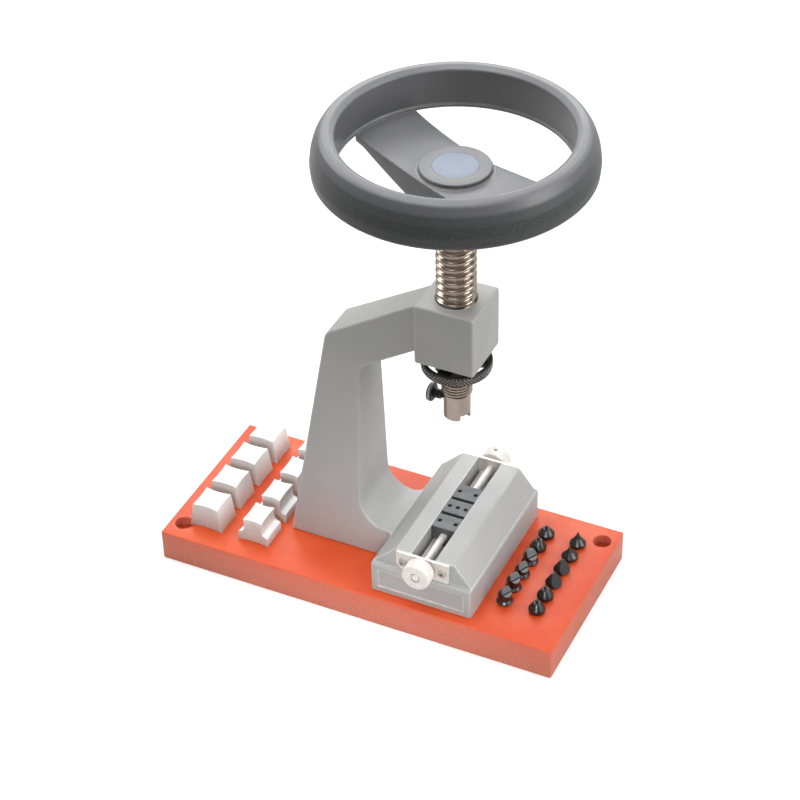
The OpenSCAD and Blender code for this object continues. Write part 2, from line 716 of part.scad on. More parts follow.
module hub_washer() {
    color("Silver") translate([axis_x, 0, square_top]) difference() {
        cylinder(r = cap_r - 2.5, h = washer_t);
        translate([0, 0, -1]) cylinder(r = bolt_r + side_gap, h = washer_t + 2);
    }
}

module wheel_bolt() {
    color("DimGray") translate([axis_x, 0, square_top + washer_t]) difference() {
        union() {
            cylinder(r = 1.6 * bolt_r, h = bolt_head_h);
            translate([0, 0, -washer_t - bolt_len + 2]) cylinder(r = bolt_r, h = washer_t + bolt_len - 2);
        }
        translate([0, 0, bolt_head_h * 0.3]) cylinder(r = bolt_r * 0.7, h = bolt_head_h, $fn = 6);
    }
}

module hub_cap() {
    color("LightSteelBlue") translate([axis_x, 0, cap_seat + side_gap / 2]) cylinder(r = cap_r, h = cap_t);
}

module stop_ring() {
    in_r = ring_r - ring_band;
    color("DimGray") translate([axis_x, 0, ring_top - ring_t]) difference() {
        cylinder(r = ring_r, h = ring_t, $fn = 96);
        difference() {
            translate([0, 0, -1]) cylinder(r = in_r, h = ring_t + 2);
            translate([0, 0, -2]) cylinder(r = ring_hub_r, h = ring_t + 4);
            for (a = [30 : 120 : 270]) rotate([0, 0, a])
                translate([0, -ring_web_w / 2, -2]) cube([ring_r, ring_web_w, ring_t + 4]);
        }
        translate([0, 0, -1]) cylinder(r = fine_r + running_gap, h = ring_t + 2);
    }
}

module thumb_screw() {
    tip = socket_r + 0.3;
    color("DimGray") translate([axis_x, 0, nose_end + thumb_z]) rotate([0, -90, 0]) {
        translate([0, 0, tip]) cylinder(r = thumb_thread_r, h = thumb_reach - tip + 1);
        translate([0, 0, fine_r + 0.6]) cylinder(r = thumb_neck_r, h = thumb_reach - fine_r);
        translate([0, 0, thumb_reach]) cylinder(r = thumb_head_r, h = thumb_head_t);
    }
}

// Heights of the heads and kinds of tip: 0 sharp, 1 pin, 2 wedge, 3 chisel
BIT_HEIGHTS = [[9, 10, 9.5, 10.5, 12.5, 12], [11.5, 10.5, 10, 10, 10, 10]];
BIT_TIPS = [[1, 1, 3, 3, 3, 3], [0, 2, 2, 2, 1, 1]];

// Bit with its head on z = 0: a cylinder, a cone and the tip's own form
module bit(h, tip) {
    tip_r = [0.2, 1.6, 1.2, 3.2][tip];
    cone_h = [h, h - 2, h, h][tip];
    cylinder(r = bit_shank_r, h = bit_shank_len);
    translate([0, 0, bit_shank_len]) intersection() {
        union() {
            cylinder(r = bit_head_r, h = bit_rim_h);
            translate([0, 0, bit_rim_h]) cylinder(r1 = bit_head_r, r2 = tip_r, h = cone_h - bit_rim_h);
            if (tip == 1) cylinder(r = 1, h = h, $fn = 32);
        }
        if (tip > 1) rotate([90, 0, 30]) translate([0, 0, -bit_head_r]) linear_extrude(2 * bit_head_r)
            polygon([[-bit_head_r, -1], [bit_head_r, -1], [bit_head_r, bit_rim_h],
                [0.5, h], [-0.5, h], [-bit_head_r, bit_rim_h]]);
    }
}

module placed_bit(row, i) {
    color("DarkSlateGray") translate(concat(bit_spot(row, i), [board_top - bit_shank_len]))
        bit(BIT_HEIGHTS[row][i], BIT_TIPS[row][i]);
}

module peg() {
    translate([0, 0, -peg_len]) cylinder(r = peg_r, h = peg_len + 1);
}

// Upright block that tapers along X from w to w - 2 * side and along Y from l to l - 2 * face
module tapered_block(w, l, h, side, face) {
    intersection() {
        translate([0, l / 2, 0]) rotate([90, 0, 0]) linear_extrude(l)
            polygon([[-w / 2, 0], [w / 2, 0], [w / 2 - side, h], [side - w / 2, h]]);
        translate([-w / 2, 0, 0]) rotate([90, 0, 90]) linear_extrude(w)
            polygon([[-l / 2, 0], [l / 2, 0], [l / 2 - face, h], [face - l / 2, h]]);
    }
}

// Long shallow hollow along a side of length l, the side's middle at [0, y] and facing +Y
module side_hollow(l, y) {
    r = l * l / (8 * hollow_depth) + hollow_depth / 2;
    translate([0, y + r - hollow_depth, -1]) cylinder(r = r, h = support_h + 2, $fn = 256);
}

module large_support(i) {
    color("White") translate(concat(support_spot(0, i), [board_top])) {
        difference() {
            tapered_block(large_w, support_len, support_h, large_taper, end_taper);
            for (s = [0, 180]) rotate([0, 0, s]) side_hollow(large_w - 2 * large_taper, support_len / 2);
        }
        peg();
    }
}

module small_support(i) {
    color("White") translate(concat(support_spot(1, i), [board_top])) {
        tapered_block(small_w, support_len, small_step_h, 0.4, 0.3);
        difference() {
            tapered_block(small_top_w, support_len - 0.6, support_h, 0.3, end_taper);
            for (s = [0, 180]) rotate([0, 0, s])
                side_hollow(small_top_w - 0.6, support_len / 2 - 0.3);
        }
        peg();
    }
}

base_board();
frame_casting();
frame_screws();
spindle_nut();
front_end_plate();
back_end_plate();
plate_screws();
guide_rods();
centre_block();
front_jaw();
back_jaw();
lead_screw();
front_knob();
back_knob();
knob_set_screws();
spindle_screw();
handwheel();
hub_washer();
wheel_bolt();
hub_cap();
stop_ring();
thumb_screw();
for (row = [0, 1], i = [0 : bit_count - 1])
    placed_bit(row, i);
for (i = [0 : support_count - 1]) {
    large_support(i);
    small_support(i);
}
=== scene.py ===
# %% [markdown]
# # A bench watch case opener
#
# A handwheel drives a coarse screw down through the head of a cast frame, onto a watch
# that a small vise holds below it. The frame stands on a painted wooden board with the
# bits and the plastic case supports.
#
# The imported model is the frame: its sizes and places are read from it, and every piece
# made here is put on the body that it moves with. Pieces are drawn in millimetres and
# scaled to metres when they are placed. Only the camera, lamps and floor are in metres.

# %% Load the frame
import math

import bmesh
import bpy
from mathutils import Matrix, Vector


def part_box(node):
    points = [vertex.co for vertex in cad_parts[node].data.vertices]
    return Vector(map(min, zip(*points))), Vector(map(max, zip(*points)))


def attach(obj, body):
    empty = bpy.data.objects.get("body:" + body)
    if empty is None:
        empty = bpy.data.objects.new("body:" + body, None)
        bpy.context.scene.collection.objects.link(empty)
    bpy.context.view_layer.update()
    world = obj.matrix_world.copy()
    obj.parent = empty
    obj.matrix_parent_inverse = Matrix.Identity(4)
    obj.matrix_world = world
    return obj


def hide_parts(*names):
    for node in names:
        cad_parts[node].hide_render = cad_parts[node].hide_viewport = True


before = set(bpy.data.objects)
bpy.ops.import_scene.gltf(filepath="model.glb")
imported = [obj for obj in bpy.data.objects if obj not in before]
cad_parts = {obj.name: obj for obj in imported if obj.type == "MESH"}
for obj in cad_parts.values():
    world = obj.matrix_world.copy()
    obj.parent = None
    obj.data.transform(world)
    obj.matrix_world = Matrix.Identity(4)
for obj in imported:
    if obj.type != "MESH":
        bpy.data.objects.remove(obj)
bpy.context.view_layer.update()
MM = 0.001


def box(node):
    """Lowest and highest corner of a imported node, in millimetres."""
    return [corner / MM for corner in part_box(node)]


def linked(name, data):
    """New object in the scene."""
    obj = bpy.data.objects.new(name, data)
    bpy.context.scene.collection.objects.link(obj)
    return obj


# %% [markdown]
# ## Node trees in few words
#
# The studio, the finishes and the growing trees are all made of nodes. `add` makes a
# node, fills its inputs and hands back one output as a Term. Terms reckon like numbers:
# each sum or product adds a Math node, so that a tree's code reads like its formula.

# %% Terms and nodes
class Term:
    """Output of a node that reckons like a number."""

    def __init__(self, tree, socket):
        self.tree = tree
        self.socket = socket

    def other(self, output):
        """Another output of the same node."""
        return Term(self.tree, self.socket.node.outputs[output])

    def calc(self, operation, *others):
        """Math node with this term as its first input."""
        return add(self.tree, "ShaderNodeMath", (self, *others), operation=operation)

    def remap(self, low, high, to_low=0.0, to_high=1.0, kind="LINEAR"):
        """This term carried from low..high over to to_low..to_high, and kept within."""
        inputs = {"Value": self, "From Min": low, "From Max": high, "To Min": to_low, "To Max": to_high}
        return add(self.tree, "ShaderNodeMapRange", inputs, interpolation_type=kind)

    def __add__(self, other):
        return self.calc("ADD", other)

    def __sub__(self, other):
        return self.calc("SUBTRACT", other)

    def __rsub__(self, other):
        return add(self.tree, "ShaderNodeMath", (other, self), operation="SUBTRACT")

    def __mul__(self, other):
        return self.calc("MULTIPLY", other)

    def __truediv__(self, other):
        return self.calc("DIVIDE", other)

    def __rtruediv__(self, other):
        return add(self.tree, "ShaderNodeMath", (other, self), operation="DIVIDE")


def feed(tree, socket, value):
    """Links a term to a socket, or sets the socket to a plain value."""
    if isinstance(value, Term):
        tree.links.new(value.socket, socket)
    else:
        socket.default_value = value


def add(tree, kind, inputs=(), output=0, **settings):
    """New node with these settings and inputs; returns one of its outputs as a Term."""
    node = tree.nodes.new(kind)
    for name, value in settings.items():
        setattr(node, name, value)
    for label, value in inputs.items() if isinstance(inputs, dict) else enumerate(inputs):
        feed(tree, node.inputs[label], value)
    return Term(tree, node.outputs[output])


print("terms and nodes are ready")


# %% Helpers for groups and materials
def node_group(name, kind, inputs, outputs):
    """Node group, its inputs as Terms, and its output node's sockets.

    Inputs and outputs are named. Each has a default number or the word for its kind."""
    tree = bpy.data.node_groups.new(name, kind)
    for side, sockets in (("INPUT", inputs), ("OUTPUT", outputs)):
        for label, value in sockets.items():
            word = value if isinstance(value, str) else type(value).__name__.title()
            socket = tree.interface.new_socket(label, in_out=side, socket_type=f"NodeSocket{word}")
            if not isinstance(value, str):
                socket.default_value = value
    given = tree.nodes.new("NodeGroupInput").outputs
    return tree, [Term(tree, given[label]) for label in inputs], tree.nodes.new("NodeGroupOutput").inputs


def noise(tree, vector, scale, detail=2.0, roughness=0.5):
    """Value of a noise texture."""
    inputs = {"Vector": vector, "Scale": scale, "Detail": detail, "Roughness": roughness}
    return add(tree, "ShaderNodeTexNoise", inputs, "Fac")


def new_material(name):
    """Material with nodes, its tree and its shader's inputs."""
    made = bpy.data.materials.new(name)
    made.use_nodes = True
    return made, made.node_tree, made.node_tree.nodes["Principled BSDF"].inputs


print("helpers for groups and materials are ready")

# %% [markdown]
# ## Camera, light and floor
#
# The photograph was taken from the right and from above, with a long lens, and slightly
# tilted. The camera's place and angles were worked out from the board's corners and from
# the wheel's two ellipses. A product photograph is lit by large soft lamps. Four area
# lamps and a pale world do that here: the top and the right are bright, and the faces
# that look at the viewer are a step darker, which is what gives the casting its form. A
# fifth, weak beam reaches the board's front edge.

# %% Camera
CAMERA_AT = Vector((0.5142, -1.02275, 1.02806))
CAMERA_AZIMUTH = math.radians(26.317)
CAMERA_ELEVATION = math.radians(38.155)
CAMERA_ROLL = math.radians(-1.466)
LENS_MM = 107.34


def camera_turn(azimuth, elevation, roll):
    """Rotation of a camera that looks back along these angles."""
    back = Vector((math.sin(azimuth) * math.cos(elevation),
                   -math.cos(azimuth) * math.cos(elevation), math.sin(elevation)))
    level = Vector((math.cos(azimuth), math.sin(azimuth), 0))
    upright = back.cross(level)
    right = math.cos(roll) * level + math.sin(roll) * upright
    up = math.cos(roll) * upright - math.sin(roll) * level
    return Matrix((right, up, back)).transposed()


camera = linked("camera", bpy.data.cameras.new("camera"))
camera.data.lens = LENS_MM
camera.data.sensor_width = 36
camera.data.sensor_fit = "HORIZONTAL"
camera.data.clip_start = 0.05
camera.data.clip_end = 50
camera.matrix_world = (Matrix.Translation(CAMERA_AT)
                       @ camera_turn(CAMERA_AZIMUTH, CAMERA_ELEVATION, CAMERA_ROLL).to_4x4())
bpy.context.scene.camera = camera
bpy.context.scene.view_settings.view_transform = "Standard"
print("camera at", [round(x, 3) for x in camera.location])

# %% Lamps
LAMP_AIM = (0.0, 0.0, 0.12)
FRONT_AIM = (0.02, -0.08, 0.0)


def lamp(name, place, size, power, aim=LAMP_AIM, spread=180):
    """Square soft lamp that shines at a point; a small spread in degrees makes a beam."""
    light = bpy.data.lights.new(name, "AREA")
    light.shape = "SQUARE"
    light.size = size
    light.energy = power
    light.spread = math.radians(spread)
    obj = linked(name, light)
    obj.location = place
    obj.rotation_mode = "QUATERNION"
    obj.rotation_quaternion = (Vector(aim) - Vector(place)).to_track_quat("-Z", "Y")


lamp("lamp_top", (-0.2, -0.1, 1.6), 0.8, 8)
lamp("lamp_right", (1.5, 0.1, 0.8), 0.9, 13)
lamp("lamp_left", (-1.3, 0.15, 1.0), 0.8, 7)
lamp("lamp_back", (-0.55, 1.25, 1.05), 1.2, 12)
lamp("lamp_front", (0.22, -0.72, 0.36), 0.25, 0.15, FRONT_AIM, 26)
print(len(bpy.data.lights), "lamps")

# %% Floor and world
WHITE = (1, 1, 1, 1)
FLOOR_COLOUR = (0.55, 0.55, 0.55, 1)
FLOOR_LIFT = 0.5
FLOOR_HALF = 4.0
SKY_LOW = 0.1
SKY_PEAK = (0.0, 0.45, 0.89)
SKY_HIGH = 0.9


def set_world():
    """White for the camera, and for everything else a sky that is brightest overhead and behind."""
    world = bpy.data.worlds.new("studio")
    world.use_nodes = True
    tree = world.node_tree
    tree.nodes.remove(tree.nodes["Background"])
    way = add(tree, "ShaderNodeTexCoord", output="Generated")
    to_peak = add(tree, "ShaderNodeVectorMath", (way, SKY_PEAK), "Value", operation="DOT_PRODUCT")
    sky = add(tree, "ShaderNodeBackground", (WHITE, to_peak.remap(0.0, 1.0, SKY_LOW, SKY_HIGH)))
    seen = add(tree, "ShaderNodeBackground", (WHITE, 1.0))
    ray = add(tree, "ShaderNodeLightPath", output="Is Camera Ray")
    mixed = add(tree, "ShaderNodeMixShader", (ray, sky, seen))
    feed(tree, tree.nodes["World Output"].inputs["Surface"], mixed)
    bpy.context.scene.world = world


def floor_material():
    """Pale matt floor that shows as near white where nothing shades it."""
    made, tree, shader = new_material("floor_paint")
    lift = add(tree, "ShaderNodeLightPath", output="Is Camera Ray") * FLOOR_LIFT
    for label, value in {"Base Color": FLOOR_COLOUR, "Roughness": 0.9, "Emission Color": WHITE,
                         "Emission Strength": lift}.items():
        feed(tree, shader[label], value)
    return made


def floor():
    """Square floor under the board."""
    mesh = bpy.data.meshes.new("floor")
    corners = [(x * FLOOR_HALF, y * FLOOR_HALF, 0) for x, y in ((-1, -1), (1, -1), (1, 1), (-1, 1))]
    mesh.from_pydata(corners, [], [(0, 1, 2, 3)])
    mesh.materials.append(floor_material())
    linked("floor", mesh)


set_world()
floor()
print("floor and world are set")

# %% [markdown]
# ## What the finishes share
#
# Every finish on this tool varies a little: paint is mottled and grainy, edges are
# lighter, and turned faces carry rings. The lighter edges are painted highlights on the
# painted board, casting and wheel, and wear on the blackened metal. Each of these effects
# is a shader node group with its own sizes, so that a material only names which effects
# it has and how strong they are. All of them read Object coordinates, because the pieces
# stand at the origin and the pattern then stays on them in every pose. Some finishes also
# take another colour on faces that look sideways, as painted light and shade.

# %% Shader groups
CREST_FADE = 0.3 * MM


def mottle_group():
    """Slow change of tone over a surface, as in brushed or sprayed paint."""
    tree, (vector, size), out = node_group("mottle", "ShaderNodeTree", {"Vector": "Vector", "Size": 0.02},
                                           {"Mask": "Float"})
    feed(tree, out["Mask"], noise(tree, vector, 1.0 / size, 3.0, 0.55).remap(0.35, 0.65))
    return tree


def grain_group():
    """Fine grain of paint or cast metal: a height for the bump and a speckle for the colour."""
    tree, (vector, size), out = node_group("grain", "ShaderNodeTree", {"Vector": "Vector", "Size": 0.0004},
                                           {"Height": "Float", "Speckle": "Float"})
    scale = 1.0 / size
    feed(tree, out["Height"], noise(tree, vector, scale, 2.0, 0.6))
    feed(tree, out["Speckle"], noise(tree, vector, scale * 0.6, 1.0).remap(0.42, 0.62))
    return tree


def wear_group():
    """Mask that is 1 on edges, where a rounded normal differs from the true one. It lightens edges: painted
    highlights on the painted finishes, wear on blackened metal.
    """
    tree, (vector, width), out = node_group("edge_wear_and_highlight", "ShaderNodeTree",
                                            {"Vector": "Vector", "Width": 0.0008}, {"Mask": "Float"})
    rounded = add(tree, "ShaderNodeBevel", {"Radius": width}, samples=4)
    true_normal = add(tree, "ShaderNodeNewGeometry", output="Normal")
    alike = add(tree, "ShaderNodeVectorMath", (rounded, true_normal), "Value", operation="DOT_PRODUCT")
    patchy = noise(tree, vector, 300.0).remap(0.3, 0.6, 0.35, 1.0)
    feed(tree, out["Mask"], alike.remap(0.998, 0.95) * patchy)
    return tree


def radius_of(tree, vector):
    """Distance from the Z axis of a vector."""
    x = add(tree, "ShaderNodeSeparateXYZ", (vector,))
    y = x.other("Y")
    return (x * x + y * y).calc("SQRT")


def crest_group():
    """Mask that is 1 at a radius round the Z axis of the vector and fades to 0 a bit further in."""
    tree, (vector, radius), out = node_group("knurl_crests", "ShaderNodeTree",
                                             {"Vector": "Vector", "Radius": 0.02}, {"Mask": "Float"})
    feed(tree, out["Mask"], (radius - radius_of(tree, vector)).remap(CREST_FADE, 0.0))
    return tree


def rings_group():
    """Fine concentric marks that a lathe tool leaves, round the Z axis of the vector."""
    tree, (vector, pitch), out = node_group("turning_rings", "ShaderNodeTree",
                                            {"Vector": "Vector", "Pitch": 0.0004}, {"Height": "Float"})
    turns = radius_of(tree, vector) / pitch + noise(tree, vector, 400.0)
    feed(tree, out["Height"], (turns * math.tau).calc("SINE").remap(-1.0, 1.0))
    return tree


GROUPS = {"mottle": mottle_group(), "grain": grain_group(), "wear_and_highlight": wear_group(),
          "rings": rings_group(), "crests": crest_group()}
print("shader groups:", sorted(GROUPS))

# %% [markdown]
# ## The finishes
#
# `finish` lays the shared effects over each other in order: the base colour drifts
# slowly, faces that look sideways may take a colour of painted light and shade, fine
# speckles lie in it, edges are lightened, as painted highlights on paint and as wear on
# blackened metal, and the grain tilts the surface. A material is then one call with its own
# values, with colours in sRGB from 0 to 255 and sizes in millimetres. Numbers that are the
# same everywhere on a piece are set straight on the shader.

# %% The finish helper
SIDES_FADE = 3
RING_PITCH = 0.5
finishes = {}


def srgb(colour):
    """Linear colour of an sRGB colour given in 0..255."""
    shares = [c / 255 for c in colour]
    return (*[c / 12.92 if c <= 0.04045 else ((c + 0.055) / 1.055) ** 2.4 for c in shares], 1.0)


def effect(tree, name, vector, label, size):
    """Places one shared shader group with its own size; returns its first output."""
    return add(tree, "ShaderNodeGroup", {"Vector": vector, label: size * MM}, node_tree=GROUPS[name])


def blended(tree, mask, first, second):
    """Mixes two colours by a mask."""
    return add(tree, "ShaderNodeMix", {0: mask, 6: first, 7: second}, 2, data_type="RGBA")


def finish(name, colour, drift, rough, metallic=0.0, patch=20, drift_share=0.5, speckle=None,
           speckle_share=0.3, grain=0.4, depth=0.02, worn_and_lit=None, wear_and_highlight=0.0, wear_and_highlight_width=0.6, rings=0.0,
           centre=(0, 0, 0), turn=(0, 0, 0), sides=None, sides_range=(0.5, -0.05), sides_r=0.0,
           crest_r=0.0, fixed=()):
    """Material with a drifting base colour, speckles, lighter edges, a grained surface and painted light
    and shade on sideways faces.

    rough is the roughness from the smoothest to the roughest spot, rings the depth of
    turning marks round centre, and crest_r the radius round centre from which a knurl's
    crests are rubbed bright. The edge colour lightens edges: painted highlights on painted
    finishes, wear on blackened metal. sides is a colour of painted light and shade for faces
    that look sideways: it sets in as the normal's height goes through sides_range, and only
    partly inside the radius sides_r. fixed holds pairs of a shader's input and its value."""
    made, tree, shader = new_material(name)
    place = add(tree, "ShaderNodeTexCoord", output="Object")
    vector = add(tree, "ShaderNodeMapping", {"Vector": place, "Location": Vector(centre) * MM,
                                             "Rotation": turn}, vector_type="TEXTURE")
    patches = effect(tree, "mottle", vector, "Size", patch)
    height = effect(tree, "grain", vector, "Size", grain)
    speckles = height.other("Speckle")
    tone = blended(tree, patches * drift_share, srgb(colour), srgb(drift))
    # Painted light and shade: faces that look sideways take the sides colour, less inside sides_r.
    if sides:
        upright = add(tree, "ShaderNodeSeparateXYZ", (place.other("Normal"),), "Z").remap(*sides_range)
        if sides_r:
            inner_r = (sides_r - SIDES_FADE) * MM
            upright *= radius_of(tree, vector).remap(inner_r, sides_r * MM, 0.4, 1.0)
        tone = blended(tree, upright, tone, srgb(sides))
    if speckle:
        tone = blended(tree, speckles * speckle_share, tone, srgb(speckle))
    # Lighter edges: painted highlights on painted finishes, wear on blackened metal.
    if worn_and_lit:
        tone = blended(tree, effect(tree, "wear_and_highlight", vector, "Width", wear_and_highlight_width) * wear_and_highlight, tone, srgb(worn_and_lit))
    if crest_r:
        tone = blended(tree, effect(tree, "crests", vector, "Radius", crest_r), tone, srgb(worn_and_lit))
    bump = {"Height": height, "Distance": depth * MM, "Strength": 1.0}
    if rings:
        marks = effect(tree, "rings", vector, "Pitch", RING_PITCH)
        bump["Normal"] = add(tree, "ShaderNodeBump", {"Height": marks, "Distance": rings * MM})
    coarse = patches * 0.6 + speckles * 0.4
    for label, value in (("Base Color", tone), ("Roughness", coarse.remap(0.0, 1.0, *rough)),
                         ("Metallic", metallic), ("Normal", add(tree, "ShaderNodeBump", bump)), *fixed):
        feed(tree, shader[label], value)
    finishes[name] = made


print("the finish helper is ready")

# %% [markdown]
# ### Paint on wood and on cast metal
#
# The board is sprayed orange. Where its surface looks sideways the material takes a
# duller, paler, pinker colour, as painted light on the board's sides. The casting has a
# silver-grey satin paint with a fine metallic grain, and the wheel a dark grey matt paint,
# painted lighter on its upward faces as sheen and darker on its sideways faces as shade,
# darkest on the outside of its rim. On all three the edges are painted lighter as highlights.

# %% Paints
board_top = box("base_board")[1].z
axis_x = (box("spindle_nut")[0].x + box("spindle_nut")[1].x) / 2
lead_z = (box("lead_screw")[0].z + box("lead_screw")[1].z) / 2
SPINDLE_AXIS = (axis_x, 0, 0)
LEAD_AXIS = (axis_x, 0, lead_z)
RIM_MIDDLE_R = 74

# Painted light: the board's sideways faces take a paler, pinker colour, and its edges are painted lighter
# as highlights.
finish("board_paint", (216, 84, 35), (202, 64, 16), (0.36, 0.5), patch=40, drift_share=0.8,
       speckle=(206, 72, 36), speckle_share=0.25, grain=0.7, sides=(206, 120, 98),
       worn_and_lit=(240, 150, 120), wear_and_highlight=0.5, wear_and_highlight_width=0.8)
# Painted highlights: the casting's edges are painted lighter.
finish("casting_paint", (172, 172, 170), (164, 165, 166), (0.42, 0.58), metallic=0.12, patch=30,
       speckle=(156, 156, 156), grain=0.5, depth=0.01, worn_and_lit=(232, 232, 230), wear_and_highlight=0.8, wear_and_highlight_width=1.1)
# Painted light and shade: the wheel's colour is lighter than its paint, as sheen on upward faces; sideways
# faces are painted dark as shade, less inside the rim's middle radius; edges are painted lighter as
# highlights.
finish("wheel_paint", (124, 124, 126), (114, 115, 117), (0.3, 0.44), patch=30, speckle=(112, 112, 112),
       speckle_share=0.2, grain=0.6, depth=0.04, sides=(55, 56, 57), sides_range=(0.8, 0.15),
       sides_r=RIM_MIDDLE_R, centre=SPINDLE_AXIS, worn_and_lit=(176, 176, 174), wear_and_highlight=0.8, wear_and_highlight_width=1.1)
print("paints:", sorted(finishes))

# %% [markdown]
# ### Bare and blackened metal, and plastic
#
# The spindle is nickelled steel with a warm, brownish tone. The vise's knobs and plates
# are bright and grainy, and turned faces carry rings round their own axis: the pattern is
# moved to the lead screw or the spindle with a Mapping node. The jaws, bits, stop ring
# and thumb screw are blackened: the jaws milled and grainy, the bits oiled, and the two
# knurls worn bright on their crests. The supports are white plastic, softened by a
# little light under the surface; their sideways faces are painted darker as shade.

# %% Metals
RIGHT_ANGLE = math.radians(90)

finish("warm_nickel", (186, 172, 159), (168, 153, 140), (0.16, 0.26), metallic=1.0, patch=6, grain=0.5,
       depth=0.002, speckle=(150, 138, 126), speckle_share=0.12)
finish("bright_nickel", (236, 231, 225), (222, 216, 209), (0.42, 0.55), metallic=0.6, patch=4,
       speckle=(170, 162, 154))
finish("turned_nickel", (242, 238, 234), (230, 226, 221), (0.5, 0.6), metallic=0.4, patch=4,
       depth=0.01, speckle=(184, 176, 168), speckle_share=0.4, rings=0.02, centre=LEAD_AXIS,
       turn=(RIGHT_ANGLE, 0, 0))
finish("bronze", (168, 142, 104), (148, 122, 86), (0.28, 0.42), metallic=1.0, patch=6,
       speckle=(140, 104, 60), rings=0.02, centre=SPINDLE_AXIS)
finish("zinc_steel", (196, 192, 187), (178, 174, 169), (0.35, 0.5), metallic=0.7, patch=3,
       speckle=(150, 147, 143), speckle_share=0.25)
finish("jaw_black", (92, 93, 95), (80, 81, 84), (0.38, 0.52), metallic=0.5, patch=5, depth=0.03,
       speckle=(116, 117, 119), speckle_share=0.4, worn_and_lit=(140, 140, 142), wear_and_highlight=0.5, wear_and_highlight_width=0.4)
finish("black_oxide", (14, 13, 14), (10, 10, 11), (0.3, 0.4), patch=4, grain=0.5, depth=0.003,
       speckle=(26, 24, 24), worn_and_lit=(110, 106, 102), wear_and_highlight=0.3, wear_and_highlight_width=0.2, fixed=[("IOR", 1.7)])
finish("cap_disc", (142, 150, 166), (136, 144, 160), (0.45, 0.55), metallic=0.2, patch=10,
       depth=0.004, rings=0.004, centre=SPINDLE_AXIS)
# Painted shade: the supports' sideways faces take a darker colour.
finish("white_plastic", (240, 239, 238), (232, 231, 231), (0.42, 0.55), patch=8, sides=(192, 187, 181),
       grain=0.8, speckle=(224, 222, 221), speckle_share=0.2,
       fixed=[("Subsurface Weight", 0.08), ("Subsurface Scale", 0.002)])


def knurled_black(name, crest_r, centre, turn=(0, 0, 0)):
    """Blackened steel with a knurl round centre, rubbed bright on its crests."""
    finish(name, (30, 30, 30), (24, 24, 24), (0.3, 0.45), metallic=0.3, patch=4, worn_and_lit=(222, 218, 210),
           wear_and_highlight=0.3, wear_and_highlight_width=0.2, crest_r=crest_r, centre=centre, turn=turn)


print("finishes:", sorted(finishes))

# %% [markdown]
# ## Making and placing a piece
#
# A piece's mesh is made in the part's own frame, so its object stays at the origin.
# `placed` scales it to metres, gives it its finish and the body that it moves with, and
# hides the imported node that it stands for. `closed` merges what lies together and turns all
# faces outwards, and `smooth_below` shades soft curves smooth and keeps real edges sharp.

# %% Helpers for meshes
def new_piece(name, points, faces):
    """Object with this mesh."""
    mesh = bpy.data.meshes.new(name)
    mesh.from_pydata([tuple(p) for p in points], [], [tuple(f) for f in faces])
    return linked(name, mesh)


def closed(obj, distance=0.001):
    """Merges doubles and turns the faces outwards."""
    work = bmesh.new()
    work.from_mesh(obj.data)
    bmesh.ops.remove_doubles(work, verts=work.verts, dist=distance)
    bmesh.ops.dissolve_degenerate(work, edges=work.edges, dist=distance)
    bmesh.ops.recalc_face_normals(work, faces=work.faces)
    if work.calc_volume(signed=True) < 0:
        bmesh.ops.reverse_faces(work, faces=work.faces)
    work.to_mesh(obj.data)
    work.free()
    return obj


def smooth_below(obj, degrees=35):
    """Smooth shading that breaks at edges sharper than this."""
    obj.data.shade_smooth()
    obj.data.set_sharp_from_angle(angle=math.radians(degrees))
    return obj


def joined(name, parts):
    """Joins meshes into one object."""
    work = bmesh.new()
    for part in parts:
        work.from_mesh(part.data)
        bpy.data.objects.remove(part)
    mesh = bpy.data.meshes.new(name)
    work.to_mesh(mesh)
    work.free()
    return linked(name, mesh)


def baked(obj):
    """Turns an object with modifiers into a plain mesh."""
    graph = bpy.context.evaluated_depsgraph_get()
    mesh = bpy.data.meshes.new_from_object(obj.evaluated_get(graph))
    obj.modifiers.clear()
    obj.data = mesh
    return obj


print("helpers for meshes are ready")


# %% Moving and placing a piece
def turn(degrees, axis="Z"):
    """Rotation about an axis."""
    return Matrix.Rotation(math.radians(degrees), 3, axis)


def moved(obj, place=(0, 0, 0), turned_by=turn(0)):
    """Moves an object's mesh, after turning it."""
    obj.data.transform(Matrix.Translation(place) @ turned_by.to_4x4())
    return obj


def placed(obj, slot, body, node, material=None):
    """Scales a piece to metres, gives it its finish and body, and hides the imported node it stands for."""
    obj.data.transform(Matrix.Scale(MM, 4))
    obj.data.materials.clear()
    obj.data.materials.append(finishes[material or slot])
    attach(obj, body)
    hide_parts(node)
    triangles = sum(len(face.vertices) - 2 for face in obj.data.polygons)
    print(f"{obj.name}: {triangles} triangles on {body}")


print("helpers for placing are ready")

# %% [markdown]
# ## Rings, screws and knurls by rule
#
# A thread and a knurl follow rules exactly, so Geometry Nodes make them. Both trees
# start from a flat grid and roll it up. In the thread the rows climb along the helix:
# the last column of each turn meets the first column of the next, and a Merge by
# Distance closes the seam. Towards both ends the ridge sinks to the root, as a cut
# thread runs out, so the tube ends in two plain circles that the shaft continues from.

# %% Helpers for growing trees
def grid(tree, columns, rows):
    """Grid of columns by rows cells, and each point's column and row number."""
    sizes = {"Size X": 1.0, "Size Y": 1.0, "Vertices X": columns + 1.0, "Vertices Y": rows + 1.0}
    x = add(tree, "ShaderNodeSeparateXYZ", (add(tree, "GeometryNodeInputPosition"),))
    column = ((x + 0.5) * columns).calc("ROUND")
    row = ((x.other("Y") + 0.5) * rows).calc("ROUND")
    return add(tree, "GeometryNodeMeshGrid", sizes, "Mesh"), column, row


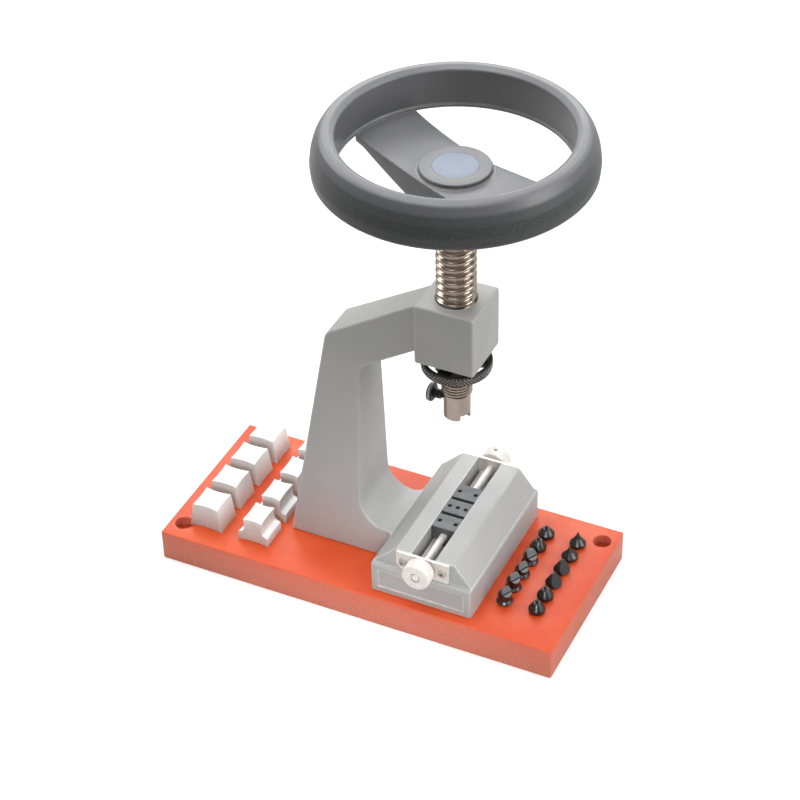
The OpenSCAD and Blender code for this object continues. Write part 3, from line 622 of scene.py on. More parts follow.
def rolled(tree, mesh, column, columns, radius, height):
    """Sets the grid's points on a cylinder, then closes its seam."""
    angle = column / columns * math.tau
    point = add(tree, "ShaderNodeCombineXYZ",
                (radius * angle.calc("COSINE"), radius * angle.calc("SINE"), height))
    tube = add(tree, "GeometryNodeSetPosition", {"Geometry": mesh, "Position": point})
    return add(tree, "GeometryNodeMergeByDistance", {"Geometry": tube, "Distance": 0.002})


def ended(tree, geometry, material, out):
    """Realize Instances and Set Material at the end of a tree; returns the tree."""
    real = add(tree, "GeometryNodeRealizeInstances", (geometry,))
    shown = add(tree, "GeometryNodeSetMaterial", {"Geometry": real, "Material": material})
    feed(tree, out["Geometry"], shown)
    return tree


def grown(tree, obj, **values):
    """Turns an object into the plain mesh that a tree makes of it with these inputs."""
    maker = obj.modifiers.new("grow", "NODES")
    maker.node_group = tree
    for item in tree.interface.items_tree:
        if item.in_out == "INPUT" and item.name in values:
            maker[item.identifier] = values[item.name]
    return baked(obj)


print("helpers for growing trees are ready")


# %% Thread and knurl trees
def thread_tree():
    """Right-hand thread round Z from Start to End, with rounded ridges."""
    tree, given, out = node_group(
        "cut_thread", "GeometryNodeTree",
        {"Start": 0.0, "End": 50.0, "Pitch": 5.0, "Root": 9.8, "Crest": 12.0, "Sides": 96, "Rows": 14,
         "Material": "Material"}, {"Geometry": "Geometry"})
    start, end, pitch, root, crest, sides, rows, material = given
    turns = ((end - start) / pitch).calc("CEIL") + 1.0
    mesh, column, row = grid(tree, sides, turns * rows)
    row_turns = row / rows
    height = start - pitch + (row_turns + column / sides) * pitch
    height = height.calc("MAXIMUM", start).calc("MINIMUM", end)
    phase = (row_turns + 0.0005).calc("FRACT")
    ridge = (phase * 2.0 - 1.0).calc("ABSOLUTE").remap(0.85, 0.2, kind="SMOOTHSTEP")
    for away in (height - start, end - height):
        ridge *= (away / pitch).remap(0.0, 0.5, kind="SMOOTHSTEP")
    radius = root + (crest - root) * ridge
    return ended(tree, rolled(tree, mesh, column, sides, radius, height), material, out)


def knurl_tree():
    """Diamond knurl round Z from Start to End: peaks and hollows take turns on the grid."""
    tree, given, out = node_group(
        "diamond_knurl", "GeometryNodeTree",
        {"Start": 0.0, "End": 5.0, "Radius": 20.0, "Depth": 0.4, "Teeth": 90, "Rows": 8,
         "Material": "Material"}, {"Geometry": "Geometry"})
    start, end, outer, depth, teeth, rows, material = given
    columns = teeth * 2.0
    mesh, column, row = grid(tree, columns, rows)
    even = 1.0 - (column + row).calc("MODULO", 2.0)
    inside = (row * (rows - row)).calc("MINIMUM", 1.0)
    radius = outer - (1.0 - even * inside) * depth
    height = start + row / rows * (end - start)
    tube = rolled(tree, mesh, column, columns, radius, height)
    split = add(tree, "GeometryNodeTriangulate", {"Mesh": tube}, quad_method="SHORTEST_DIAGONAL")
    return ended(tree, split, material, out)


THREAD = thread_tree()
KNURL = knurl_tree()
print("trees:", THREAD.name, KNURL.name)

# %% [markdown]
# ## Turned shapes
#
# Most other parts are turned on a lathe: a section goes once round an axis. `softened`
# rounds the corners of a section by their own radii, and `turned` spins it. A section
# runs from point to point, or is a closed loop. The angle starts at +X, as in the trees,
# so that a turned shape and a thread of as many sides share their points.

# %% Turned shapes
SIDES = 96
SEAM = 0.004


def softened(corners, steps=4, loop=True):
    """Section as points (r, z), each corner (r, z, radius) rounded by its radius."""
    points = []
    count = len(corners)
    for i, corner in enumerate(corners):
        here = Vector(corner[:2])
        radius = corner[2] if len(corner) > 2 else 0.0
        if radius == 0.0 or (not loop and i in (0, count - 1)):
            points.append(tuple(here))
            continue
        before = (Vector(corners[i - 1][:2]) - here).normalized()
        after = (Vector(corners[(i + 1) % count][:2]) - here).normalized()
        half = math.acos(max(-1.0, min(1.0, before.dot(after)))) / 2
        centre = here + (before + after).normalized() * radius / math.sin(half)
        start = here + before * radius / math.tan(half) - centre
        end = here + after * radius / math.tan(half) - centre
        angle = start.angle_signed(end)
        for k in range(steps + 1):
            points.append(tuple(centre + Matrix.Rotation(-angle * k / steps, 2) @ start))
    return points


def turned(name, section, sides=SIDES, loop=False):
    """Section of points (r, z) spun round the Z axis."""
    angles = [math.tau * j / sides for j in range(sides)]
    points = [(r * math.cos(angle), r * math.sin(angle), z) for r, z in section for angle in angles]
    count = len(section)
    faces = []
    for i in range(count if loop else count - 1):
        low, high = i * sides, (i + 1) % count * sides
        faces += [(low + j, low + (j + 1) % sides, high + (j + 1) % sides, high + j) for j in range(sides)]
    return closed(new_piece(name, points, faces))


def bar(name, start, end, radius, chamfer, sides=48):
    """Round bar with chamfered ends along Z."""
    section = [(0, start), (radius - chamfer, start), (radius, start + chamfer), (radius, end - chamfer),
               (radius - chamfer, end), (0, end)]
    return turned(name, section, sides)


def knurled(name, sections, finish_name, start, end, radius, depth, teeth, rows):
    """Turned sections with a knurled band from start to end, merged where their circles meet."""
    band = grown(KNURL, new_piece("band", [], []), Start=start, End=end, Radius=radius, Depth=depth,
                 Teeth=teeth, Rows=rows, Material=finishes[finish_name])
    smooth = [turned("smooth", section, 2 * teeth) for section in sections]
    return closed(joined(name, [band, *smooth]), SEAM)


print("turned shapes are ready")

# %% [markdown]
# ## Blocks, lofts and cuts
#
# What isn't turned is a block or a loft: rows of points with faces between them, its
# sharp edges rounded by a Bevel modifier. Holes, slots and channels are cut with an
# exact boolean, as on the real part, and castings are joined with one.

# %% Blocks, lofts and cuts
CUBE = [(0, 2, 3, 1), (4, 5, 7, 6), (0, 1, 5, 4), (2, 6, 7, 3), (0, 4, 6, 2), (1, 3, 7, 5)]
HOLE_CHAMFER = 0.4


def lofted(name, rows):
    """Closed piece through rows of points, with flat ends."""
    count = len(rows[0])
    last = (len(rows) - 1) * count
    faces = [(i + j, i + (j + 1) % count, i + count + (j + 1) % count, i + count + j)
             for i in range(0, last, count) for j in range(count)]
    faces += [range(count), range(last, last + count)]
    return closed(new_piece(name, [point for row in rows for point in row], faces))


def edged(obj, width, angle=35, segments=4):
    """Rounds all edges sharper than an angle."""
    bevel = obj.modifiers.new("round", "BEVEL")
    bevel.width = width
    bevel.segments = segments
    bevel.angle_limit = math.radians(angle)
    return baked(obj)


def block(name, low, high, edge_r, segments=3):
    """Box with rounded edges."""
    points = [(x, y, z) for z in (low[2], high[2]) for y in (low[1], high[1]) for x in (low[0], high[0])]
    return edged(new_piece(name, points, CUBE), edge_r, segments=segments)


def solid_with(obj, others, operation):
    """Joins others to a piece (UNION), cuts them out (DIFFERENCE) or keeps their share (INTERSECT)."""
    for other in others:
        boolean = obj.modifiers.new("with", "BOOLEAN")
        boolean.object = other
        boolean.operation = operation
        boolean.solver = "EXACT"
        baked(obj)
        bpy.data.objects.remove(other)
    return obj


def cut(obj, *cutters):
    """Takes cutters that don't touch each other out of a piece."""
    return solid_with(obj, [joined("cutter", cutters)], "DIFFERENCE")


def drill(place, radius, depth):
    """Cutter for a hole with a chamfered mouth, down from place."""
    section = [(0, 1), (radius + HOLE_CHAMFER + 1, 1), (radius, -HOLE_CHAMFER), (radius, -depth),
               (0, -depth)]
    return moved(turned("drill", section, 48), place)


def centre_of(node):
    """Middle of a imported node's box on the board's top."""
    low, high = box(node)
    return (low.x + high.x) / 2, (low.y + high.y) / 2, board_top


print("blocks, lofts and cuts are ready")

# %% [markdown]
# ## The board
#
# A painted block of wood with sanded edges. It is built as a rounded box, and the holes
# for the bits, the supports' pegs and the two corner screws are drilled into it, each
# with a small chamfer. The places of the holes are read from what stands in them.

# %% Board
BOARD_EDGE_R = 0.9
SHANK_HOLE_R = 4.05
PEG_HOLE_R = 3.1
CORNER_INSET = Vector((9.5, 13.5))
CORNER_SECTION = [(0, 1), (6.8, 1), (5.8, -HOLE_CHAMFER), (5.8, -8), (3.2, -8), (3.2, -30), (0, -30)]
BITS = [f"bit_{row}{i}" for row in "ab" for i in range(1, 7)]
SUPPORTS = [f"{size}_support_{i}" for size in ("large", "small") for i in range(1, 5)]

board_low, board_high = box("base_board")
holes = [drill(centre_of(node), SHANK_HOLE_R, 14.5) for node in BITS]
holes += [drill(centre_of(node), PEG_HOLE_R, 6.5) for node in SUPPORTS]
for side in (-1, 1):
    x, y = side * (board_high.xy - CORNER_INSET)
    holes.append(moved(turned("corner_drill", CORNER_SECTION, 48), (x, y, board_top)))
board = cut(block("painted_board", board_low, board_high, BOARD_EDGE_R), *holes)
placed(smooth_below(board, 30), "board_paint", "root", "base_board")

# %% [markdown]
# ## The frame casting
#
# Column, arm, head block, saddle and vise bed are one casting. It is put together as a
# foundry pattern is: simple lofted blocks, each with its own rounds and draft, joined
# into one closed mesh, and then the channel, the name panel and the bore are cut out.

# %% The casting's sizes
COLUMN_OUT = -60
COLUMN_IN = -11
FOOT_HALF = 23
DRAFT = math.tan(math.radians(3.4))
COLUMN_LEAN = math.radians(9.3)
ARM_RISE = math.radians(31.5)
SADDLE_TOP = 21
SADDLE_FILLET_R = 4
HEAD_HALF = 19.1
CAST_R = 1.5
BED_LEFT = 35.2
BED_RIGHT = 32.5
BED_HALF_LEN = 53.3
RIDGE_HALF_LEN = 50.5
FOOT_INSET = 0.9
OVERLAP = 4
CHANNEL_HALF = 8.05
CUT_END = 60
nut_low, nut_high = box("spindle_nut")
head_low = nut_low.z
head_high = box("frame_casting")[1].z
head_left = axis_x - HEAD_HALF
land_z = board_top + 37
side_top = board_top + 22
print("the head block spans", round(head_low, 1), "to", round(head_high, 1), "mm in height")


# %% Column, arm and saddle
def meet(p, d, q, e):
    """Point where two lines cross, each a point and a direction."""
    gap = Vector(q) - Vector(p)
    share = (gap.x * e[1] - gap.y * e[0]) / (d[0] * e[1] - d[1] * e[0])
    return tuple(Vector(p) + Vector(d) * share)


def column_and_arm():
    """Column, arm and saddle: one outline in XZ, its front and back drafted."""
    along = Vector((math.cos(ARM_RISE), math.sin(ARM_RISE)))
    up = (math.sin(COLUMN_LEAN), math.cos(COLUMN_LEAN))
    arm_top = Vector((head_left, head_high - 3.4))
    arm_low = Vector((head_left, head_low + 5.2))
    saddle_z = board_top + SADDLE_TOP
    saddle_end = axis_x - BED_LEFT + OVERLAP
    outline = softened([(COLUMN_OUT, board_top), (*meet((COLUMN_OUT, board_top), up, arm_top, along), 9),
                        arm_top + OVERLAP * along, arm_low + OVERLAP * along,
                        (*meet((COLUMN_IN, board_top), (0, 1), arm_low, along), 8),
                        (COLUMN_IN, saddle_z, 18), (saddle_end, saddle_z), (saddle_end, board_top)],
                       steps=8)
    rows = [[(x, side * (FOOT_HALF - (z - board_top) * DRAFT), z) for x, z in outline] for side in (-1, 1)]
    return edged(lofted("column", rows), CAST_R)


def saddle_fillet(side):
    """Upright fillet between the saddle and the bed."""
    radius = SADDLE_FILLET_R
    face = FOOT_HALF - SADDLE_TOP * DRAFT
    arc = [(-radius + radius * math.cos(a), radius - radius * math.sin(a))
           for a in [math.radians(90) * k / 8 for k in range(9)]]
    outline = [(1, -1), (1, radius), *arc, (-radius, -1)]
    rows = [[(axis_x - BED_LEFT + x, side * (face + y), board_top + z) for x, y in outline]
            for z in (0.1, SADDLE_TOP - 0.15)]
    return lofted("saddle_fillet", rows)


column = column_and_arm()
fillets = [saddle_fillet(side) for side in (-1, 1)]
print("column and saddle:", len(column.data.polygons), "faces")


# %% Bed
def bed_base():
    """Upright lower half of the bed, with a rounded shoulder and a small gap at its foot."""
    rows = []
    for z, inset in ((0, 0.5), (0.5, 0), (20.4, 0), (20.8, 0.12), (21.2, 0.4), (21.6, 0.8), (21.9, 1.3),
                     (22, 1.9)):
        half = (BED_LEFT + BED_RIGHT) / 2 - inset
        ends = BED_HALF_LEN - inset
        corners = [(sx * half, sy * ends, max(0.4, 2 - inset))
                   for sx, sy in ((-1, -1), (1, -1), (1, 1), (-1, 1))]
        rows.append([(x + axis_x + (BED_RIGHT - BED_LEFT) / 2, y, board_top + z)
                     for x, y in softened(corners, steps=5)])
    return lofted("bed_base", rows)


def ridge():
    """Sloping upper half of the bed."""
    left = -BED_LEFT + FOOT_INSET
    right = BED_RIGHT - FOOT_INSET
    section = softened([(left, side_top - 2), (right, side_top - 2), (right, side_top + 0.2, 0.5),
                        (20.3, land_z, 3), (-18.8, land_z, 2), (left, side_top + 0.2, 0.5)], steps=5)
    rows = [[(axis_x + x, y, z) for x, z in section] for y in (-RIDGE_HALF_LEN, RIDGE_HALF_LEN)]
    return edged(lofted("ridge", rows), 0.5, angle=50, segments=3)


bed = [bed_base(), ridge()]
print("bed:", sum(len(part.data.polygons) for part in bed), "faces")

# %% Casting
head = block("head", (head_left, -HEAD_HALF, head_low), (axis_x + HEAD_HALF, HEAD_HALF, head_high),
             CAST_R, 4)
casting = solid_with(column, [*bed, *fillets, head], "UNION")
casting.name = "painted_casting"
channel = block("channel", (axis_x - CHANNEL_HALF, -CUT_END, land_z - 15.5),
                (axis_x + CHANNEL_HALF, CUT_END, land_z + 10), 0.3)
panel = block("panel", (axis_x - BED_LEFT + 5, -CUT_END, board_top + 4),
              (axis_x + BED_RIGHT - 5, -BED_HALF_LEN + 0.8, side_top - 5), 0.6)
bore = [(0, head_low - 1), (15.5, head_low - 1), (15.05, head_low + 0.3), (15.05, nut_high.z + 0.02),
        (12.25, nut_high.z + 0.02), (12.25, head_high - 0.5), (14.4, head_high + 1), (0, head_high + 1)]
solid_with(casting, [channel, panel, moved(turned("bore", bore), SPINDLE_AXIS)], "DIFFERENCE")
placed(smooth_below(casting, 28), "casting_paint", "root", "frame_casting")

# %% [markdown]
# ## The vise's plates, blocks and rods
#
# The plates and blocks are milled, so their edges are only broken with a file, and it is
# this thin round that catches the light. `dressed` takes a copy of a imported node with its
# pin holes, joins the loose triangles into whole faces and rounds the edges. The short
# edges round a hole get less. The rods and the lead screw are ground round bars along Y.

# %% Plates and blocks
PLATE_EDGE_R = 0.35
BLOCK_EDGE_R = 0.28
LONG_EDGE = 1.5


def dressed(node, name, width, short_share):
    """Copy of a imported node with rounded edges; short ones get this share of the width.

    The rounds are made in metres, like the node, and the copy is then scaled."""
    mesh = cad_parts[node].data.copy()
    mesh.name = name
    work = bmesh.new()
    work.from_mesh(mesh)
    bmesh.ops.remove_doubles(work, verts=work.verts, dist=0.002 * MM)
    bmesh.ops.dissolve_limit(work, angle_limit=math.radians(0.5), verts=work.verts, edges=work.edges)
    weights = work.edges.layers.float.new("bevel_weight_edge")
    for edge in work.edges:
        if edge.is_manifold and edge.calc_face_angle() > math.radians(30):
            edge[weights] = 1.0 if edge.calc_length() > LONG_EDGE * MM else short_share
    work.to_mesh(mesh)
    work.free()
    obj = linked(name, mesh)
    bevel = obj.modifiers.new("round", "BEVEL")
    bevel.limit_method = "WEIGHT"
    bevel.width = width * MM
    bevel.segments = 3
    bevel.use_clamp_overlap = False
    bevel.harden_normals = True
    baked(smooth_below(obj, 30)).data.transform(Matrix.Scale(1 / MM, 4))
    return obj


for end in ("front", "back"):
    plate = dressed(f"{end}_end_plate", f"{end}_plate_metal", PLATE_EDGE_R, 0.4)
    placed(plate, "bright_nickel", "root", f"{end}_end_plate")
for node, body in (("centre_block", "root"), ("front_jaw", "front_jaw"), ("back_jaw", "back_jaw")):
    placed(dressed(node, f"{node}_steel", BLOCK_EDGE_R, 0.5), "jaw_black", body, node)

# %% Rods and lead screw
ROD_CHAMFER = 0.3
LEAD_END_CHAMFER = 0.45
LEAD_INSET = 0.2
CENTRE_DRILL_R = 1.1
TO_FRONT = turn(90, "X")
TO_BACK = turn(-90, "X")

rod_low, rod_high = box("guide_rods")
rod_r = (rod_high.z - rod_low.z) / 2
rods = [moved(bar("rod", rod_low.y, rod_high.y, rod_r, ROD_CHAMFER), (x, 0, rod_low.z + rod_r), TO_BACK)
        for x in (rod_low.x + rod_r, rod_high.x - rod_r)]
placed(smooth_below(joined("guide_rod_bars", rods)), "bright_nickel", "root", "guide_rods")

lead_low, lead_high = box("lead_screw")
lead_r = (lead_high.z - lead_low.z) / 2
lead_end = LEAD_INSET - lead_high.y
lead_section = [(0, CENTRE_DRILL_R - lead_high.y), (CENTRE_DRILL_R, lead_end),
                (lead_r - LEAD_END_CHAMFER, lead_end), (lead_r, lead_end + LEAD_END_CHAMFER)]
lead_section += [(r, -z) for r, z in reversed(lead_section)]
lead = moved(turned("lead_screw_bar", lead_section, 48), LEAD_AXIS, TO_BACK)
placed(smooth_below(lead), "bright_nickel", "lead_screw", "lead_screw", "turned_nickel")

# %% [markdown]
# ## Knobs
#
# Each knob is a turned disc with a fine diamond knurl, a collar behind it and a set
# screw hole. The knurled band is grown by the knurl tree and its two end circles lie
# exactly on the turned shape, so that the two merge into one closed mesh.

# %% Knobs
KNOB_TEETH = 62
KNOB_ROWS = 18
KNURL_DEPTH = 0.28
KNURL_INSET = 0.7
KNOB_COLLAR_LEN = 1.5
KNOB_COLLAR_R = 5
knob_low, knob_high = box("back_knob")
knob_r = (knob_high.z - knob_low.z) / 2
knob_len = knob_high.y - knob_low.y
lead_seat = lead_r + 0.05
set_low, set_high = box("knob_set_screws")
set_screw_r = (set_high.x - set_low.x) / 2


def knob(name, side, along):
    """Knob on the lead screw; side is -1 at the front and 1 at the back."""
    low_r = knob_r - KNURL_DEPTH
    start = KNOB_COLLAR_LEN + KNURL_INSET
    end = knob_len - KNURL_INSET
    back = [(lead_seat, 0), (KNOB_COLLAR_R - 0.3, 0), (KNOB_COLLAR_R, 0.3),
            (KNOB_COLLAR_R, KNOB_COLLAR_LEN), (knob_r - 0.9, KNOB_COLLAR_LEN), (low_r, start)]
    face = [(low_r, end), (knob_r - 0.75, knob_len - 0.1), (knob_r - 1, knob_len),
            (lead_seat + 0.8, knob_len), (lead_seat + 0.6, knob_len - 1.6), (lead_seat, knob_len - 1.8),
            (lead_seat, 0)]
    obj = knurled(name, (back, face), "turned_nickel", start, end, knob_r, KNURL_DEPTH, KNOB_TEETH,
                  KNOB_ROWS)
    moved(obj, (axis_x, side * knob_low.y, lead_z), along)
    hole = bar("hole", lead_r + 1, knob_r + 1, set_screw_r + 0.05, 0, 24)
    moved(hole, (axis_x, side * (knob_low.y + (KNOB_COLLAR_LEN + knob_len) / 2), lead_z),
          turn(0 if side > 0 else 180, "X"))
    return smooth_below(cut(obj, hole), 25)


for end, side, along in (("front", -1, TO_FRONT), ("back", 1, TO_BACK)):
    made = knob(f"{end}_knob_metal", side, along)
    placed(made, "bright_nickel", "lead_screw", f"{end}_knob", "turned_nickel")

# %% [markdown]
# ## Screws
#
# A screw is turned once, with a hexagon socket cut into its head, and a tree puts a copy
# on each point of a small mesh. The points carry the direction in which the screw looks,
# so the same tree serves the plates' screws and the knobs' set screws.

# %% Screws
def screw_tree():
    """Copies of a screw on the points of a mesh, each turned to its point's facing."""
    tree, (spots, screw, material), out = node_group(
        "screw_set", "GeometryNodeTree", {"Spots": "Geometry", "Screw": "Object", "Material": "Material"},
        {"Geometry": "Geometry"})
    facing = add(tree, "GeometryNodeInputNamedAttribute", {"Name": "facing"}, "Attribute",
                 data_type="FLOAT_VECTOR")
    rotation = add(tree, "FunctionNodeAlignRotationToVector", {"Vector": facing}, axis="Z")
    shape = add(tree, "GeometryNodeObjectInfo", {"Object": screw}, "Geometry")
    copies = add(tree, "GeometryNodeInstanceOnPoints",
                 {"Points": spots, "Instance": shape, "Rotation": rotation})
    return ended(tree, copies, material, out)


def socket_screw(head_r, head_h, shaft_r, shaft_len, socket_r, dome=0):
    """Screw along Z, its head above z = 0, with a hexagon socket."""
    section = [(0, -shaft_len), (shaft_r - 0.2, -shaft_len), (shaft_r, 0.3 - shaft_len), (shaft_r, 0),
               (head_r, 0), (head_r, head_h - dome, 0.2), (0, head_h)]
    socket = [(0, head_h + 1), (socket_r, head_h + 1), (socket_r, -0.5), (0, -0.8)]
    screw = turned("screw", softened(section, loop=False), 36)
    return smooth_below(cut(screw, turned("socket", socket, 6)), 30)


def screw_set(name, screw, spots):
    """One mesh with a screw at each (place, facing)."""
    obj = new_piece(name, [place for place, _ in spots], [])
    facing = obj.data.attributes.new("facing", "FLOAT_VECTOR", "POINT")
    for i, (_, way) in enumerate(spots):
        facing.data[i].vector = way
    grown(SCREWS, obj, Screw=screw, Material=finishes["zinc_steel"])
    bpy.data.objects.remove(screw)
    return obj


SCREWS = screw_tree()
plate_low, plate_high = box("plate_screws")
plate_face = box("front_end_plate")[0].y
plate_head_r = (plate_high.z - plate_low.z) / 2
plate_screw_z = (plate_high.z + plate_low.z) / 2
plate_spots = [((x, side * -plate_face, plate_screw_z), (0, side, 0))
               for x in (plate_low.x + plate_head_r, plate_high.x - plate_head_r) for side in (-1, 1)]
plate_screw = socket_screw(plate_head_r, 1.6, 1.5, 9.5, 1.25, 0.5)
plate_screws = screw_set("plate_screw_set", plate_screw, plate_spots)
placed(plate_screws, "zinc_steel", "root", "plate_screws")

set_reach = lead_r + 4.8
set_spots = [((axis_x, set_high.y - set_screw_r, lead_z + set_reach), (0, 0, 1)),
             ((axis_x, set_low.y + set_screw_r, lead_z - set_reach), (0, 0, -1))]
set_screw = socket_screw(set_screw_r, 0.05, set_screw_r, 4.6, 0.66)
set_screws = screw_set("knob_set_screw_set", set_screw, set_spots)
placed(set_screws, "zinc_steel", "lead_screw", "knob_set_screws")

# %% [markdown]
# ## The spindle
#
# From the nose upwards: a plain nose with a socket for the bits and a driving slot
# across its end, a fine thread for the stop ring, the coarse thread that runs in the
# nut, and a shoulder below the wheel. Threads from the tree and turned stretches share
# their end circles and merge into one closed mesh. The slot is cut at the end.

# %% Spindle
NOSE_R = 8.25
FINE_ROOT = 8.6
FINE_CREST = 9.4
FINE_PITCH = 2.0
COARSE_ROOT = 9.7
COARSE_CREST = 12.0
COARSE_PITCH = 5.0
SOCKET_R = 4.1
SOCKET_DEPTH = 27
SLOT_HALF = 3.7
SLOT_DEPTH = 3.8
SLOT_TURN = turn(-25)
WHEEL_TURN = turn(-25.8)
nose_end = box("spindle_screw")[0].z
hub_z = box("handwheel")[0].z
fine_low = nose_end + 17.5
neck_z = head_low + 5
shoulder_z = hub_z - 5


def thread(start, end, pitch, root, crest, rows):
    """Threaded stretch of the spindle."""
    return grown(THREAD, new_piece("thread", [], []), Start=start, End=end, Pitch=pitch, Root=root,
                 Crest=crest, Sides=SIDES, Rows=rows, Material=finishes["warm_nickel"])


def shaft():
    """Everything of the spindle below the wheel, round Z."""
    nose = [(0, nose_end + SOCKET_DEPTH), (SOCKET_R, nose_end + SOCKET_DEPTH), (SOCKET_R, nose_end + 0.5),
            (SOCKET_R + 0.5, nose_end), (NOSE_R - 0.5, nose_end), (NOSE_R, nose_end + 0.5),
            (NOSE_R, fine_low - 0.3), (FINE_ROOT, fine_low)]
    neck = [(FINE_ROOT, neck_z), (COARSE_ROOT, neck_z)]
    shoulder = [(COARSE_ROOT, shoulder_z), (COARSE_CREST - 0.4, shoulder_z),
                (COARSE_CREST, shoulder_z + 0.4), (COARSE_CREST, hub_z - 0.05), (0, hub_z - 0.05)]
    parts = [turned("stretch", section) for section in (nose, neck, shoulder)]
    parts.append(thread(fine_low, neck_z, FINE_PITCH, FINE_ROOT, FINE_CREST, 8))
    parts.append(thread(neck_z, shoulder_z, COARSE_PITCH, COARSE_ROOT, COARSE_CREST, 14))
    slot = block("slot", (-2 * NOSE_R, -SLOT_HALF, nose_end - 5),
                 (2 * NOSE_R, SLOT_HALF, nose_end + SLOT_DEPTH), 0.3)
    return cut(closed(joined("shaft", parts), SEAM), moved(slot, turned_by=SLOT_TURN))


square = block("square", (-7, -7, hub_z - 0.04), (7, 7, hub_z + 13.9), 0.5)
spindle = joined("spindle_steel", [shaft(), moved(square, turned_by=WHEEL_TURN)])
placed(smooth_below(moved(spindle, SPINDLE_AXIS), 40), "warm_nickel", "spindle", "spindle_screw")

# %% [markdown]
# ## Stop ring and thumb screw
#
# The ring is a thin knurled band on three webs round a threaded hub. The webs run from
# the hub into the band. The thumb screw clamps a bit in the nose. Both are blackened.

# %% Stop ring
RING_TEETH = 60
RING_ROWS = 5
RING_DEPTH = 0.5
RING_EDGE = 0.3
RING_HUB_R = 13.5
RING_WEB_HALF = 4.5
ring_low, ring_high = box("stop_ring")
ring_r = (ring_high.x - ring_low.x) / 2
band_in = ring_r - 3
bottom = ring_low.z
top = ring_high.z
knurled_black("ring_black", ring_r - 0.02, SPINDLE_AXIS)


def ring_web(angle):
    """Web from the hub into the band."""
    web = block("web", (RING_HUB_R - 1.5, -RING_WEB_HALF, bottom + 0.15),
                (band_in + 0.4, RING_WEB_HALF, top - 0.15), 0.4)
    return moved(web, turned_by=turn(angle))


def stop_ring():
    """Knurled band, webs and hub round Z."""
    low_r = ring_r - RING_DEPTH
    start = bottom + 0.35
    end = top - 0.35
    inner = [(low_r, end), (low_r - RING_EDGE, top), (band_in + RING_EDGE, top), (band_in, top - RING_EDGE),
             (band_in, bottom + RING_EDGE), (band_in + RING_EDGE, bottom), (low_r - RING_EDGE, bottom),
             (low_r, start)]
    ring = knurled("ring", (inner,), "ring_black", start, end, ring_r, RING_DEPTH, RING_TEETH, RING_ROWS)
    bore_r = FINE_CREST + 0.05
    corners = ((bore_r, bottom), (RING_HUB_R, bottom), (RING_HUB_R, top), (bore_r, top))
    hub = turned("hub", softened([(r, z, 0.4) for r, z in corners]), loop=True)
    return joined("stop_ring_steel", [ring, hub, ring_web(30), ring_web(150), ring_web(270)])


ring = smooth_below(moved(stop_ring(), SPINDLE_AXIS), 25)
placed(ring, "black_oxide", "stop_ring", "stop_ring", "ring_black")

# %% Thumb screw
THUMB_THICK = 3.4
THUMB_TEETH = 20
THUMB_ROWS = 3
THUMB_DEPTH = 0.3
TO_LEFT = turn(-90, "Y")
thumb_low, thumb_high = box("thumb_screw")
thumb_r = (thumb_high.z - thumb_low.z) / 2
thumb_at = (axis_x, 0, (thumb_high.z + thumb_low.z) / 2)
knurled_black("thumb_black", thumb_r - 0.02, thumb_at, (0, RIGHT_ANGLE, 0))


def thumb_screw():
    """Thumb screw along Z, its head at the far end."""
    tip = axis_x - thumb_high.x
    reach = axis_x - thumb_low.x
    face = reach - THUMB_THICK
    low_r = thumb_r - THUMB_DEPTH
    stem = [(0, tip), (2, tip), (2, 10), (2.7, 10), (3, 10.3), (3, face), (low_r - 0.5, face),
            (low_r, face + 0.4)]
    head = [(low_r, reach - 0.4), (low_r - 0.5, reach), (2.4, reach), (0, reach - 0.3)]
    return knurled("thumb_screw_steel", (stem, head), "thumb_black", face + 0.4, reach - 0.4, thumb_r,
                   THUMB_DEPTH, THUMB_TEETH, THUMB_ROWS)


thumb = smooth_below(moved(thumb_screw(), thumb_at, TO_LEFT), 25)
placed(thumb, "black_oxide", "thumb_screw", "thumb_screw", "thumb_black")

# %% [markdown]
# ## The handwheel
#
# The wheel is cast in one piece: a deep rim, open below, a plate that carries the hub,
# and a skirt under the plate's front edge that deepens towards the hub. The rim is a
# turned section with soft corners. The plate and its skirt are one loft: at each station
# along the spoke the section is an L with rounded corners, and the stations' ends follow
# the rim's inner circle.

# %% The wheel's sizes
RIM_HEIGHT = 27
RIM_SIDES = 224
PLATE_THICK = 4.5
PLATE_PARTS = 12
SKIRT_DEPTH = 16
SKIRT_THICK = 3.5
SPOKE_STATIONS = 60
BOSS_R = 16
HUB_BORE_R = 10
BOLT_HEAD_R = 11.3
HUB_COLLAR_R = 20.8
wheel_low, wheel_high = box("handwheel")
wheel_r = (wheel_high.x - wheel_low.x) / 2
rim_in = wheel_r - 14.6
rim_z = wheel_high.z - RIM_HEIGHT
plate_z = rim_z + 0.4
collar_z = plate_z + 3
cap_low, cap_high = box("hub_cap")
cap_r = (cap_high.x - cap_low.x) / 2
print("rim: radius", round(rim_in, 1), "to", round(wheel_r, 1), "mm, from", round(rim_z, 1), "mm up")


# %% Rim and spokes
def rim():
    """Rim as a turned section, open below."""
    out = wheel_r
    inn = rim_in
    high = RIM_HEIGHT
    corners = [(out - 2.4, 0, 0.4), (out - 0.6, 2, 2.5), (out, 0.31 * high, 9),
               (out - 0.9, 0.55 * high, 12), (out - 2.6, 0.76 * high, 9), (out - 6, 0.97 * high, 4),
               (inn + 3.7, high, 2),
               (inn, 0.93 * high, 1.6), (inn + 1.6, 2.6, 0.6), (inn + 0.8, 1.7, 0.4), (inn + 0.8, 0, 0.3),
               (inn + 4.2, 0, 0.3), (inn + 5, 3.5, 2), (inn + 3.4, 0.79 * high, 1.5),
               (out - 7, 0.78 * high, 2), (out - 3.6, 0.31 * high, 4), (out - 5.2, 0, 0.3)]
    section = softened([(r, z + rim_z, radius) for r, z, radius in corners], steps=6)
    return turned("rim", section, RIM_SIDES, loop=True)


